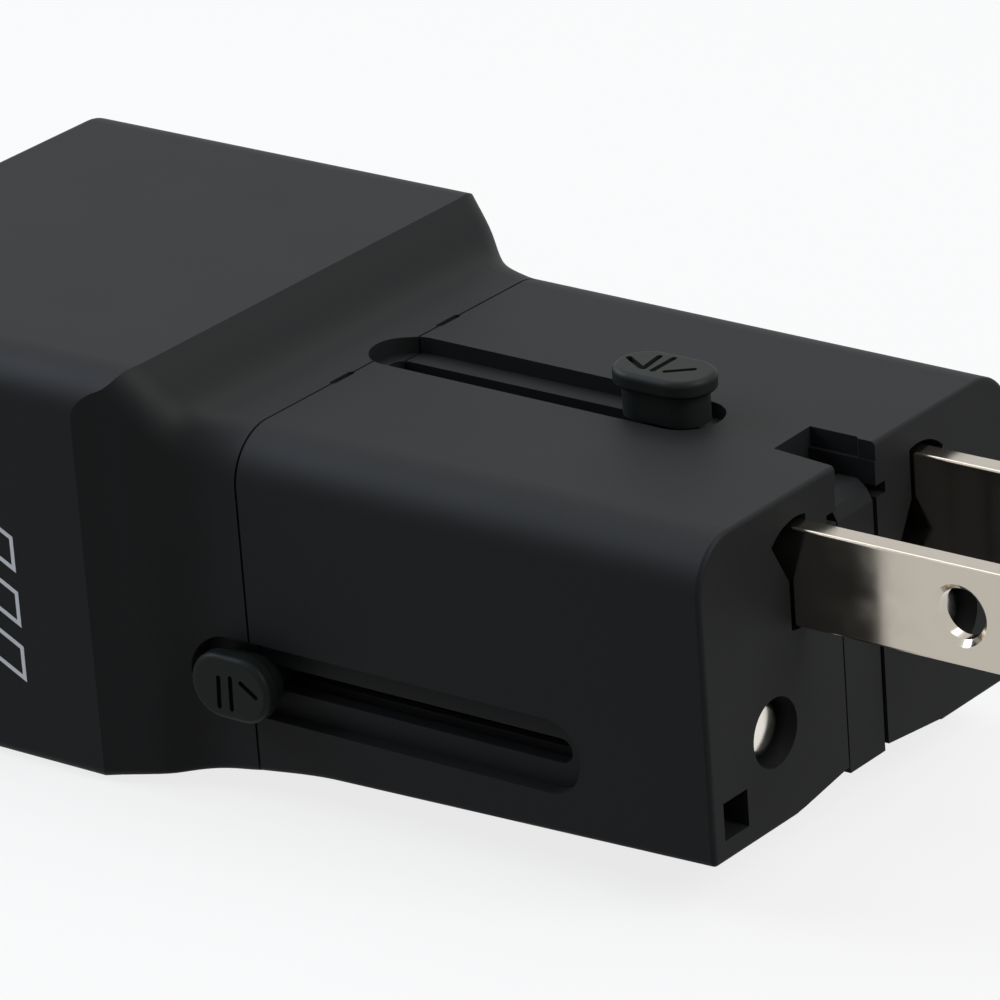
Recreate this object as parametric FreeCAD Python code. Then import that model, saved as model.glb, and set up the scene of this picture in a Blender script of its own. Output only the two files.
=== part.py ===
import FreeCAD, Part
import math
import os
from FreeCAD import Vector

# Travel charger with swappable mains pins.
# Millimetres. +X is the way the plug pins leave, +Z is up, and the origin is the
# centre of the head's flat underside. The head holds the electronics, a flared
# neck carries the plug block, and the plug block holds two sliding pin sets.
# Heights below are counted from the plug block's datum; save() lifts every part
# by DATUM_LIFT, so that the head's underside ends up at zero.

# Overall outline
DATUM_LIFT = 0.4
HEAD_HALF_WIDTH = 19.2
HEAD_LOW_Z = -DATUM_LIFT
HEAD_HIGH_Z = 26.73
HEAD_TOP_RADIUS = 3.0
HEAD_BOTTOM_RADIUS = 0.8
HEAD_REAR_RADIUS = 0.75
REAR_X = -14.35
NECK_X = 13.6
CREST_X = 17.5
SEAM_X = 24.5
FACE_X = 59.0
BLOCK_HALF_WIDTH = 16.15
BLOCK_TOP_REAR_Z = 23.39
BLOCK_TOP_Z = 23.3
BLOCK_TOP_FRONT_Z = 23.24
BLOCK_FLOOR_FRONT_Z = 2.84
BLOCK_TOP_RADIUS = 3.4
BLOCK_BOTTOM_RADIUS = 0.4
FACE_EDGE_RADIUS = 0.3
SEAM_GAP = 0.16

# Walls and clearances
HEAD_WALL = 1.8
BLOCK_WALL = 1.9
BLOCK_ROOF = 1.5
FACE_WALL = 2.0
SPIGOT_LENGTH = 4.0
SPIGOT_STEP = 1.6
SPIGOT_WALL = 1.2
SPIGOT_LOW_Z = 3.65
SPIGOT_HIGH_Z = BLOCK_TOP_Z - 1.7
LAP = 0.05

# Hollows, worked out from the outline and the walls
HEAD_ROOM_HALF = HEAD_HALF_WIDTH - HEAD_WALL
HEAD_ROOM_LOW_Z = HEAD_LOW_Z + HEAD_WALL
HEAD_ROOM_HIGH_Z = HEAD_HIGH_Z - HEAD_WALL
THROAT_HALF = BLOCK_HALF_WIDTH - SPIGOT_STEP
SPIGOT_HALF = THROAT_HALF - LAP
BORE_HALF = SPIGOT_HALF - SPIGOT_WALL
BLOCK_ROOM_HALF = BLOCK_HALF_WIDTH - BLOCK_WALL
BLOCK_ROOM_LOW_Z = 4.75
BLOCK_ROOM_HIGH_Z = BLOCK_TOP_Z - BLOCK_ROOF
RIB_LOW_Z = BLOCK_TOP_Z - 2.18

# Sliding knobs and their tracks
TRACK_RADIUS = 2.43
TRACK_DEPTH = 1.0
SLOT_WIDTH = 1.6
US_KNOB_X = 45.2
US_TRAVEL = 18.3
US_TRACK_REAR_X = 25.4
US_TRACK_FRONT_X = 46.6
US_KNOB_LENGTH = 6.9
US_KNOB_WIDTH = 4.15
US_KNOB_RISE = 2.85
EU_KNOB_X = 24.2
EU_KNOB_Z = 7.47
EU_TRACK_REAR_X = 22.65
EU_TRACK_FRONT_X = 47.07
EU_SLOT_FRONT_X = 48.2
EU_KNOB_LENGTH = 6.1
EU_KNOB_WIDTH = 4.3
EU_KNOB_RISE = 1.9
PRESS_ROOM = 0.7
KNOB_CAP_THICK = 1.15
KNOB_WAIST_INSET = 0.5
MARK_DEPTH = 0.3
STEM_WIDTH = 1.2
STEM_LENGTH = 3.0
FOOT_THICK = 1.0
FOOT_LENGTH = 4.4
FOOT_WIDTH = 3.2
US_FOOT_Z = RIB_LOW_Z - 0.1
WELL_FLOOR_Z = US_FOOT_Z - 5.22

# Chassis between the carriages
CHASSIS_REAR_X = NECK_X + 2.4
CHASSIS_FRONT_X = FACE_X - 6.7
DECK_HALF = BORE_HALF - 0.15
DECK_Z = 12.5
DECK_THICK = 1.0
SKIRT_INNER_Y = DECK_HALF - 0.55
RAIL_INNER_Y = DECK_HALF - 1.8
RAIL_THICK = 0.6
EU_FOOT_Y = SKIRT_INNER_Y - 0.1
EU_FOOT_LOW = EU_KNOB_Z - 1.8
WELL_FLOOR_Y = EU_FOOT_Y - 4.1
US_DETENT_X = 36.0
US_DETENT_Y = 0.0
EU_DETENT_X = 44.0
EU_DETENT_Y = 6.0
DETENT_GAP = 0.1
LEAF_HALF_LENGTH = 6.0
LEAF_HALF_WIDTH = 1.3
LEAF_THICK = 0.24

# Mains strips on the chassis
STRIP_THICK = 0.3
STRIP_OUTER_Y = DECK_HALF - 0.1
STRIP_INNER_Y = STRIP_OUTER_Y - STRIP_THICK
STRIP_FRONT_X = FACE_X - 3.6
LEAD_Y = STRIP_INNER_Y + 0.5 * STRIP_THICK
LEAD_Z = 17.5
LEAD_RADIUS = 0.65
LEAD_BEND = 2.0

# Flat blades
BLADE_Y = 6.35
BLADE_Z = 18.05
BLADE_WIDTH = 6.35
BLADE_THICK = 1.5
BLADE_REACH = 17.3
BLADE_HOLE_X = FACE_X + 11.8
BLADE_HOLE_SINK = 0.36
BLADE_CORNER = 1.3
BLADE_HOLE_RADIUS = 1.6
BLADE_TWIST = 30.0
TANG_WIDTH = 4.0
DRUM_RADIUS = 3.3
DRUM_LENGTH = 5.9
DRUM_GROOVE_RADIUS = 2.65
STUB_RADIUS = 1.2
STUB_LENGTH = 1.8

# Round pins, as far apart as their bosses have room for between the chassis skirts
PIN_Z = 8.96
PIN_RADIUS = 2.0
BOSS_RADIUS = PIN_RADIUS + 0.6
EU_PLATE_HALF = SKIRT_INNER_Y - 0.5
PIN_Y = EU_PLATE_HALF - BOSS_RADIUS
PIN_NECK_RADIUS = 1.6
PIN_REACH = 19.0
PIN_SLEEVE_REACH = 10.0
PIN_HOLE_RADIUS = 2.2
PIN_RECESS = 1.1
PIN_TIP_ROUNDING = 0.65
EU_TRAVEL = PIN_REACH + PIN_RECESS
EU_BOSS_FRONT_X = FACE_X - FACE_WALL - EU_TRAVEL - 0.4
EU_BOSS_LENGTH = 5.0

# Folding centre pin and its bay
FOLD_Y = -0.28
FOLD_HALF_WIDTH = 1.82
FOLD_BAY_HALF_WIDTH = 2.08
FOLD_BAY_DEPTH = 4.8
FOLD_BAY_WALL = 0.5
FOLD_PIVOT_X = FACE_X - 1.9
FOLD_PIVOT_Z = 20.1
FOLD_THICK = 3.6
FOLD_TIP_Z = 3.25
SCOOP_TOP_Z = 3.76
FOLD_AXLE_RADIUS = 0.6

# Sliding carriages
DRUM_FRONT_X = FACE_X - FACE_WALL - 0.35
US_PLATE_Z = DECK_Z + DECK_THICK + 0.1
US_PLATE_THICK = 1.6
US_CARRIAGE_REAR_X = US_KNOB_X - 7.2
EU_PLATE_TOP_Z = DECK_Z - 0.6
EU_PLATE_FLOOR_Z = 5.95
EU_CARRIAGE_REAR_X = EU_KNOB_X - 3.8

# Small openings of the plug block
LATCH_Y = BLOCK_HALF_WIDTH - 2.35
LATCH_Z = 5.4
LATCH_SIZE = 2.4
NOTCH_Y = 5.3

# Boards and the pieces on them, placed from the boards' edges
BOARD_THICK = 1.2
BOARD_Z = 3.4
BOARD_TOP_Z = BOARD_Z + BOARD_THICK
BOARD_HALF = HEAD_ROOM_HALF - 0.6
PORT_BOARD_X = REAR_X + 6.95
BARRIER_X = NECK_X
BARRIER_THICK = 0.7
BOARD_REAR_X = PORT_BOARD_X + BOARD_THICK + 0.3
BOARD_FRONT_X = BARRIER_X - 0.2
BOARD_SCREW_X = BOARD_REAR_X + 2.3
BOARD_SCREW_Y = BOARD_HALF - 1.8
TRANSFORMER_X = BOARD_REAR_X + 7.6
WINDING_HALF = BOARD_HALF - 8.6
CORE_HALF = WINDING_HALF - 1.8
CORE_HALF_LENGTH = 6.3
CORE_HEIGHT = 13.6
CORE_YOKE = 2.6
CORE_PLATE = 3.0
CORE_LEG_HALF = 1.8
BULK_CAN_RADIUS = 3.8
SMALL_CAN_RADIUS = 2.4
OUTPUT_CAN_HEIGHT = 11.0
CHOKE_RING_RADIUS = 3.0
CHOKE_WIRE_RADIUS = 1.5
X_CAPACITOR_HALF = LEAD_Y - LEAD_RADIUS - 6.45
X_CAPACITOR_THICK = 4.1
X_CAPACITOR_HEIGHT = 10.5
FUSE_RADIUS = 1.3
FUSE_HEIGHT = 8.0
SPREADER_Z = HEAD_ROOM_HIGH_Z - 1.53
SPREADER_THICK = 0.5
CAN_ROOM_Z = SPREADER_Z - 1.8
LEAD_DROP_X = BARRIER_X - 2.0
FUSE_X = LEAD_DROP_X - LEAD_RADIUS - FUSE_RADIUS - 0.35
C_PORT_WIDTH = 9.0
C_PORT_HEIGHT = 3.2
C_PORT_Y = -8.6
C_PORT_Z = (9.2, 17.2)
A_PORT_WIDTH = 13.1
A_PORT_HEIGHT = 5.7
A_PORT_Y = 6.4
A_PORT_Z = 13.2

AXES = {"x": Vector(1, 0, 0), "y": Vector(0, 1, 0), "z": Vector(0, 0, 1)}


def box(x0, x1, y0, y1, z0, z1):
    """A block between two corners."""
    return Part.makeBox(x1 - x0, y1 - y0, z1 - z0, Vector(x0, y0, z0))


def rod(x, y, z, axis, radius, length):
    """A round bar that starts at a point and runs along an axis."""
    return Part.makeCylinder(radius, length, Vector(x, y, z), AXES[axis])


def fuse(*shapes):
    """One solid out of touching or crossing ones, with shared faces merged."""
    result = shapes[0]
    for shape in shapes[1:]:
        result = result.fuse(shape)
    return result.removeSplitter()


def prism(points, shift):
    """A solid swept straight from a flat outline."""
    wire = Part.makePolygon([Vector(*p) for p in points] + [Vector(*points[0])])
    return Part.Face(wire).extrude(Vector(*shift))


def section(x, half_width, low, high, top_radius, low_radius):
    """A rounded rectangle across the length at x, as a closed wire."""
    w = half_width
    rt = top_radius
    rb = low_radius

    def p(y, z):
        return Vector(x, y, z)

    def arc(cy, cz, radius, start):
        points = []
        for k in range(3):
            a = math.radians(start + 45.0 * k)
            points.append(p(cy + radius * math.cos(a), cz + radius * math.sin(a)))
        return Part.Arc(*points).toShape()

    edges = [
        Part.makeLine(p(-w + rb, low), p(w - rb, low)),
        arc(w - rb, low + rb, rb, -90.0),
        Part.makeLine(p(w, low + rb), p(w, high - rt)),
        arc(w - rt, high - rt, rt, 0.0),
        Part.makeLine(p(w - rt, high), p(-w + rt, high)),
        arc(-w + rt, high - rt, rt, 90.0),
        Part.makeLine(p(-w, high - rt), p(-w, low + rb)),
        arc(-w + rb, low + rb, rb, 180.0),
    ]
    return Part.Wire(edges)


def tube_of(sections, ruled):
    """A solid through rounded rectangles."""
    return Part.makeLoft([section(*s) for s in sections], True, ruled)


def stadium(length, width):
    """Half the straight run and the end radius of a long rounded shape."""
    radius = 0.5 * width
    return 0.5 * length - radius, radius


def slot_up(x0, x1, y, radius, z0, z1):
    """A long rounded prism standing along Z, its end centres at x0 and x1."""
    body = box(x0, x1, y - radius, y + radius, z0, z1)
    ends = [rod(x, y, z0, "z", radius, z1 - z0) for x in (x0, x1)]
    return fuse(body, *ends)


def slot_side(x0, x1, z, radius, y0, y1):
    """A long rounded prism lying along Y, its end centres at x0 and x1."""
    body = box(x0, x1, y0, y1, z - radius, z + radius)
    ends = [rod(x, y0, z, "y", radius, y1 - y0) for x in (x0, x1)]
    return fuse(body, *ends)


def round_edges(solid, radius, test):
    """Rounds the edges that a test picks."""
    picked = [e for e in solid.Edges if test(e)]
    return solid.makeFillet(radius, picked) if picked else solid


def all_at(edge, index, value, slack=0.01):
    """True if both ends and the middle of an edge share one coordinate."""
    first = edge.valueAt(edge.FirstParameter)
    middle = edge.valueAt(0.5 * (edge.FirstParameter + edge.LastParameter))
    last = edge.valueAt(edge.LastParameter)
    return all(abs(p[index] - value) < slack for p in (first, middle, last))


def save(name, *solids):
    """Writes one node."""
    solids = [s for shape in solids for s in shape.Solids]
    shape = solids[0] if len(solids) == 1 else Part.makeCompound(solids)
    shape.translate(Vector(0, 0, DATUM_LIFT))
    shape.exportStep("parts/" + name + ".step")


def mirror_y(shape):
    """The same shape on the other side of the centre plane."""
    return shape.mirror(Vector(0, 0, 0), Vector(0, 1, 0))


def track_cuts():
    """Both knob tracks with their slots, as solids to take away."""
    floor_z = BLOCK_TOP_Z - TRACK_DEPTH
    floor_y = -BLOCK_HALF_WIDTH + TRACK_DEPTH
    half_slot = 0.5 * SLOT_WIDTH
    slot_x = US_TRACK_FRONT_X + half_slot
    top = slot_up(US_TRACK_REAR_X, US_TRACK_FRONT_X, 0.0, TRACK_RADIUS, floor_z, floor_z + 9.0)
    top_slot = slot_up(24.8, slot_x - half_slot, 0.0, half_slot, 19.0, floor_z + 1.0)
    side = slot_side(
        EU_TRACK_REAR_X, EU_TRACK_FRONT_X, EU_KNOB_Z, TRACK_RADIUS, floor_y - 9.0, floor_y
    )
    side_slot = slot_side(
        EU_TRACK_REAR_X, EU_SLOT_FRONT_X - half_slot, EU_KNOB_Z, half_slot, floor_y - 1.0,
        2.0 - BORE_HALF
    )
    return [top, top_slot, side, side_slot]


# Underside heights of the plug block near the seam, where it still flares
BLOCK_FLARE = [(SEAM_X, 1.22), (SEAM_X + 2.0, 1.5), (SEAM_X + 4.0, 1.75), (SEAM_X + 6.0, 1.9)]

# Stations of the flared neck, from the head to the seam: x, then how far the sides,
# the underside and the top still are on the way from the block to the head, as shares,
# then the top and lower corner radii. What lies beyond the head's own outline is cut off.
NECK_STATIONS = [
    (NECK_X, 1.098, 1.012, 2.4, 3.0, 0.75),
    (15.0, 0.918, 0.9, 1.89, 2.8, 0.7),
    (16.2, 0.77, 0.808, 1.456, 2.6, 0.6),
    (CREST_X, 0.64, 0.691, 1.0, 2.5, 0.5),
    (18.7, 0.475, 0.58, 0.617, 2.4, 0.4),
    (20.0, 0.235, 0.444, 0.183, 2.4, 0.4),
    (21.4, 0.082, 0.296, 0.04, 2.7, 0.4),
    (23.0, 0.016, 0.154, 0.01, 3.1, 0.4),
    (SEAM_X, 0.0, 0.0, 0.0, BLOCK_TOP_RADIUS, BLOCK_BOTTOM_RADIUS),
]


def neck_sections():
    """The neck's cross-sections, between the block's outline and the head's."""
    seam_low = BLOCK_FLARE[0][1]
    wider = HEAD_HALF_WIDTH - BLOCK_HALF_WIDTH
    deeper = seam_low - HEAD_LOW_Z
    taller = HEAD_HIGH_Z - BLOCK_TOP_REAR_Z
    return [
        (x, BLOCK_HALF_WIDTH + side * wider, seam_low - under * deeper,
         BLOCK_TOP_REAR_Z + top * taller, top_radius, low_radius)
        for x, side, under, top, top_radius, low_radius in NECK_STATIONS
    ]


def head_box(x0, x1):
    """The head's plain rounded cross-section between two stations."""
    sides = (HEAD_HALF_WIDTH, HEAD_LOW_Z, HEAD_HIGH_Z, HEAD_TOP_RADIUS, HEAD_BOTTOM_RADIUS)
    return tube_of([(x0,) + sides, (x1,) + sides], True)


def seam_marks():
    """Two short slots across the seam, one each side of the upper track."""
    marks = []
    for y in (-NOTCH_Y, NOTCH_Y):
        mark = slot_up(-0.85, 0.85, 0.0, 0.24, BLOCK_TOP_Z - 0.9, 40)
        mark.rotate(Vector(0, 0, 0), Vector(0, 0, 1), 90)
        mark.translate(Vector(SEAM_X - 0.05, y, 0))
        marks.append(mark)
    return marks


def make_head_shell():
    """The head and its flared neck, one moulding, open at both ends."""
    head = head_box(REAR_X, NECK_X)
    head = round_edges(head, HEAD_REAR_RADIUS, lambda e: all_at(e, 0, REAR_X))
    neck = tube_of(neck_sections(), False).common(head_box(NECK_X, SEAM_X + 1.0))
    shell = head.fuse(neck)
    room = (HEAD_ROOM_HALF, HEAD_ROOM_LOW_Z, HEAD_ROOM_HIGH_Z, 1.5, 0.8)
    throat = (THROAT_HALF, SPIGOT_LOW_Z, SPIGOT_HIGH_Z, 1.8, 0.8)
    room_x = NECK_X + 0.4
    throat_x = SEAM_X - SPIGOT_LENGTH - 0.1
    shell = shell.cut(tube_of([(REAR_X - 1.0,) + room, (room_x,) + room], True))
    shell = shell.cut(tube_of([(room_x,) + room, (throat_x,) + throat], True))
    shell = shell.cut(tube_of([(throat_x,) + throat, (SEAM_X + 1.0,) + throat], True))
    shell = shell.cut(box(SEAM_X - 0.5 * SEAM_GAP, SEAM_X + 2.0, -40, 40, -10, 40))
    for cut in track_cuts() + seam_marks():
        shell = shell.cut(cut)
    for y in (-BOARD_SCREW_Y, BOARD_SCREW_Y):
        foot = HEAD_ROOM_LOW_Z - 0.8
        post = rod(BOARD_SCREW_X, y, foot, "z", 2.3, BOARD_Z - foot)
        shell = shell.fuse(post)
        shell = shell.cut(rod(BOARD_SCREW_X, y, foot + 0.6, "z", 1.0, 5.0))
    return shell.removeSplitter()


def make_rear_panel():
    """The flush rear panel with its charging port openings."""
    half = HEAD_ROOM_HALF - LAP
    low = HEAD_ROOM_LOW_Z + LAP
    high = HEAD_ROOM_HIGH_Z - LAP
    plate = tube_of(
        [(REAR_X, half, low, high, 1.45, 0.75), (REAR_X + 1.6, half, low, high, 1.45, 0.75)], True
    )
    straight, radius = stadium(C_PORT_WIDTH + 0.2, C_PORT_HEIGHT + 0.2)
    for z in C_PORT_Z:
        hole = box(REAR_X - 1, REAR_X + 3, C_PORT_Y - straight, C_PORT_Y + straight,
                   z - radius, z + radius)
        for side in (-straight, straight):
            hole = hole.fuse(rod(REAR_X - 1, C_PORT_Y + side, z, "x", radius, 4.0))
        plate = plate.cut(hole)
    hw = 0.5 * A_PORT_WIDTH + LAP
    hh = 0.5 * A_PORT_HEIGHT + LAP
    plate = plate.cut(
        box(REAR_X - 1, REAR_X + 3, A_PORT_Y - hw, A_PORT_Y + hw, A_PORT_Z - hh, A_PORT_Z + hh)
    )
    return plate


def bow_tie(side):
    """The opening that lets one blade pass and twist; side is -1 left, +1 right."""
    gap = 0.22
    half_t = 0.5 * BLADE_THICK + gap
    half_w = 0.5 * BLADE_WIDTH + gap
    corner = math.degrees(math.atan2(half_t, half_w))
    radius = math.hypot(half_t, half_w)
    shape = None
    for turn in (0.0, BLADE_TWIST):
        bar = box(-4, 2, -half_t, half_t, -half_w, half_w)
        bar.rotate(Vector(0, 0, 0), Vector(1, 0, 0), turn)
        shape = bar if shape is None else shape.fuse(bar)
    for lobe in (0.0, 180.0):
        pie = Part.makeCylinder(radius, 6.0, Vector(0, 0, -4), Vector(0, 0, 1),
                                BLADE_TWIST + 2 * corner)
        pie.rotate(Vector(0, 0, 0), Vector(0, 1, 0), 90)
        pie.rotate(Vector(0, 0, 0), Vector(1, 0, 0), lobe - corner)
        shape = shape.fuse(pie)
    shape.translate(Vector(FACE_X, -BLADE_Y, BLADE_Z))
    shape = shape.removeSplitter()
    return shape if side < 0 else mirror_y(shape)


def make_plug_casing():
    """The plug block: a cup closed by the face, with the tracks and pin openings."""
    start = SEAM_X + 0.5 * SEAM_GAP
    join_x, join_z = BLOCK_FLARE[-1]
    drop = (BLOCK_TOP_REAR_Z - BLOCK_TOP_FRONT_Z) / (FACE_X - SEAM_X)
    corners = (BLOCK_TOP_RADIUS, BLOCK_BOTTOM_RADIUS)
    rear = [
        (x, BLOCK_HALF_WIDTH, z, BLOCK_TOP_REAR_Z - drop * (x - SEAM_X)) + corners
        for x, z in BLOCK_FLARE
    ]
    front = (FACE_X, BLOCK_HALF_WIDTH, BLOCK_FLOOR_FRONT_Z, BLOCK_TOP_FRONT_Z) + corners
    outer = tube_of([rear[-1], front], True)
    outer = round_edges(outer, FACE_EDGE_RADIUS, lambda e: all_at(e, 0, FACE_X))
    outer = outer.fuse(tube_of(rear, False))
    outer = outer.cut(box(SEAM_X - 1.0, start, -40, 40, -10, 40))
    plug = (SPIGOT_HALF, SPIGOT_LOW_Z + LAP, SPIGOT_HIGH_Z - LAP, 1.75, 0.75)
    spigot = tube_of([(SEAM_X - SPIGOT_LENGTH,) + plug, (SEAM_X + 3.0,) + plug], True)
    body = outer.fuse(spigot)
    room = (BLOCK_ROOM_HALF, BLOCK_ROOM_LOW_Z, BLOCK_ROOM_HIGH_Z, 1.4, 0.8)
    bore = (BORE_HALF, SPIGOT_LOW_Z + LAP + SPIGOT_WALL, SPIGOT_HIGH_Z - SPIGOT_WALL, 1.0, 0.8)
    body = body.cut(tube_of([(SEAM_X + 1.6,) + room, (FACE_X - FACE_WALL,) + room], True))
    body = body.cut(
        tube_of([(SEAM_X - SPIGOT_LENGTH - 1,) + bore, (SEAM_X + 2.0,) + bore], True)
    )
    # Relief in the spigot's roof for the upper knob's foot
    body = body.cut(
        box(SEAM_X - SPIGOT_LENGTH - 1, SEAM_X + 2.5, -3.7, 3.7, RIB_LOW_Z - 2.12, RIB_LOW_Z)
    )
    # Rib that backs the floor of the upper track
    body = body.fuse(
        box(SEAM_X + 1.0, US_TRACK_FRONT_X + 3.2, -3.3, 3.3, RIB_LOW_Z, BLOCK_TOP_Z - 1.2)
    )
    # Bay for the folding pin
    bay_back = FACE_X - FOLD_BAY_DEPTH
    bay_half = FOLD_BAY_HALF_WIDTH + FOLD_BAY_WALL
    bay = box(bay_back - FOLD_BAY_WALL, FACE_X - 1.0, FOLD_Y - bay_half, FOLD_Y + bay_half,
              3.6, BLOCK_TOP_Z - 1.0)
    body = body.fuse(bay)
    half = FOLD_BAY_HALF_WIDTH
    body = body.cut(
        box(bay_back, FACE_X + 2, FOLD_Y - half, FOLD_Y + half, 0, FOLD_PIVOT_Z + 1.9)
    )
    mouth = prism(
        [
            (bay_back + 0.1, FOLD_Y - half + 0.6, FOLD_PIVOT_Z + 1.9),
            (bay_back, FOLD_Y + half + 0.3, FOLD_PIVOT_Z + 1.9),
            (bay_back + 3.4, FOLD_Y + half + 0.3, FOLD_PIVOT_Z + 1.9),
            (bay_back + 3.6, FOLD_Y + half + 0.1, FOLD_PIVOT_Z + 1.9),
            (FACE_X + 2, FOLD_Y + half + 0.1, FOLD_PIVOT_Z + 1.9),
            (FACE_X + 2, FOLD_Y - half + 0.1, FOLD_PIVOT_Z + 1.9),
            (FACE_X, FOLD_Y - half + 0.1, FOLD_PIVOT_Z + 1.9),
        ],
        (0, 0, 20),
    )
    body = body.cut(mouth)
    # Axle slots beside the bay, open at the face
    slot_half = FOLD_AXLE_RADIUS + 0.02
    slot_y = bay_half + 0.45
    body = body.cut(
        box(FOLD_PIVOT_X, FACE_X + 2, FOLD_Y - slot_y, FOLD_Y + slot_y,
            FOLD_PIVOT_Z - slot_half * 0.6, FOLD_PIVOT_Z + slot_half * 0.6)
    )
    bore = rod(FOLD_PIVOT_X, FOLD_Y - slot_y, FOLD_PIVOT_Z, "y", slot_half, 2 * slot_y)
    body = body.cut(bore)
    # Finger scoop under the folding pin's tip
    scoop = prism(
        [
            (FACE_X + 0.5, -7.6, BLOCK_FLOOR_FRONT_Z + 0.15),
            (FACE_X + 0.5, -2.6, SCOOP_TOP_Z),
            (FACE_X + 0.5, 1.4, SCOOP_TOP_Z - 0.08),
            (FACE_X + 0.5, 7.6, BLOCK_FLOOR_FRONT_Z + 0.18),
            (FACE_X + 0.5, 7.6, BLOCK_FLOOR_FRONT_Z - 3),
            (FACE_X + 0.5, -7.6, BLOCK_FLOOR_FRONT_Z - 3),
        ],
        (-9.0, 0, 0),
    )
    body = body.cut(scoop)
    # Blade, pin and latch openings
    for side in (-1, 1):
        body = body.cut(bow_tie(side))
        body = body.cut(rod(FACE_X - 3, side * PIN_Y, PIN_Z, "x", PIN_HOLE_RADIUS, 6.0))
        y = side * LATCH_Y
        h = 0.5 * LATCH_SIZE
        body = body.cut(box(FACE_X - 3, FACE_X + 2, y - h, y + h, LATCH_Z - h, LATCH_Z + h))
    for cut in track_cuts():
        body = body.cut(cut)
    for mark in seam_marks():
        body = body.cut(mark)
    return body.removeSplitter()


def make_plug_chassis():
    """Deck between the two carriages, with skirts and guide rails."""
    rear = CHASSIS_REAR_X
    front = CHASSIS_FRONT_X
    deck_top = DECK_Z + DECK_THICK
    chassis = box(rear, front, -DECK_HALF, DECK_HALF, DECK_Z, deck_top)
    skirt = box(rear, front - 1.3, SKIRT_INNER_Y, DECK_HALF, BLOCK_ROOM_LOW_Z + 0.6, DECK_Z + 0.2)
    rail = box(rear, front, RAIL_INNER_Y, RAIL_INNER_Y + RAIL_THICK, DECK_Z + 0.5, deck_top + 1.5)
    chassis = fuse(chassis, skirt, rail, mirror_y(skirt), mirror_y(rail))
    # Windows for the detent leaves and a slot for the side knob's stem
    half = LEAF_HALF_WIDTH + 0.3
    for x, y in ((US_DETENT_X, US_DETENT_Y), (EU_DETENT_X, EU_DETENT_Y)):
        chassis = chassis.cut(
            box(x - LEAF_HALF_LENGTH, x + LEAF_HALF_LENGTH, y - half, y + half,
                DECK_Z - 1, DECK_Z + 3)
        )
    half_slot = 0.5 * SLOT_WIDTH
    slot = box(rear + 4.0, EU_SLOT_FRONT_X, -DECK_HALF - 1.0, -SKIRT_INNER_Y + 0.5,
               EU_KNOB_Z - half_slot, EU_KNOB_Z + half_slot)
    return chassis.cut(slot)


def make_detent_springs():
    """Two leaves in the deck windows whose bumps face the carriages, one up and one down."""
    low = DECK_Z + 0.5 * (DECK_THICK - LEAF_THICK)
    up = US_PLATE_Z - DETENT_GAP - LEAF_THICK - low
    down = EU_PLATE_TOP_Z + DETENT_GAP - low
    leaves = []
    for x, y, lift in ((US_DETENT_X, US_DETENT_Y, up), (EU_DETENT_X, EU_DETENT_Y, down)):
        points = [(x - LEAF_HALF_LENGTH, low), (x - 2.0, low), (x, low + lift),
                  (x + 2.0, low), (x + LEAF_HALF_LENGTH, low)]
        side = y - LEAF_HALF_WIDTH
        outline = [(px, side, pz) for px, pz in points]
        outline += [(px, side, pz + LEAF_THICK) for px, pz in reversed(points)]
        leaves.append(prism(outline, (0, 2 * LEAF_HALF_WIDTH, 0)))
    return leaves


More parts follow.
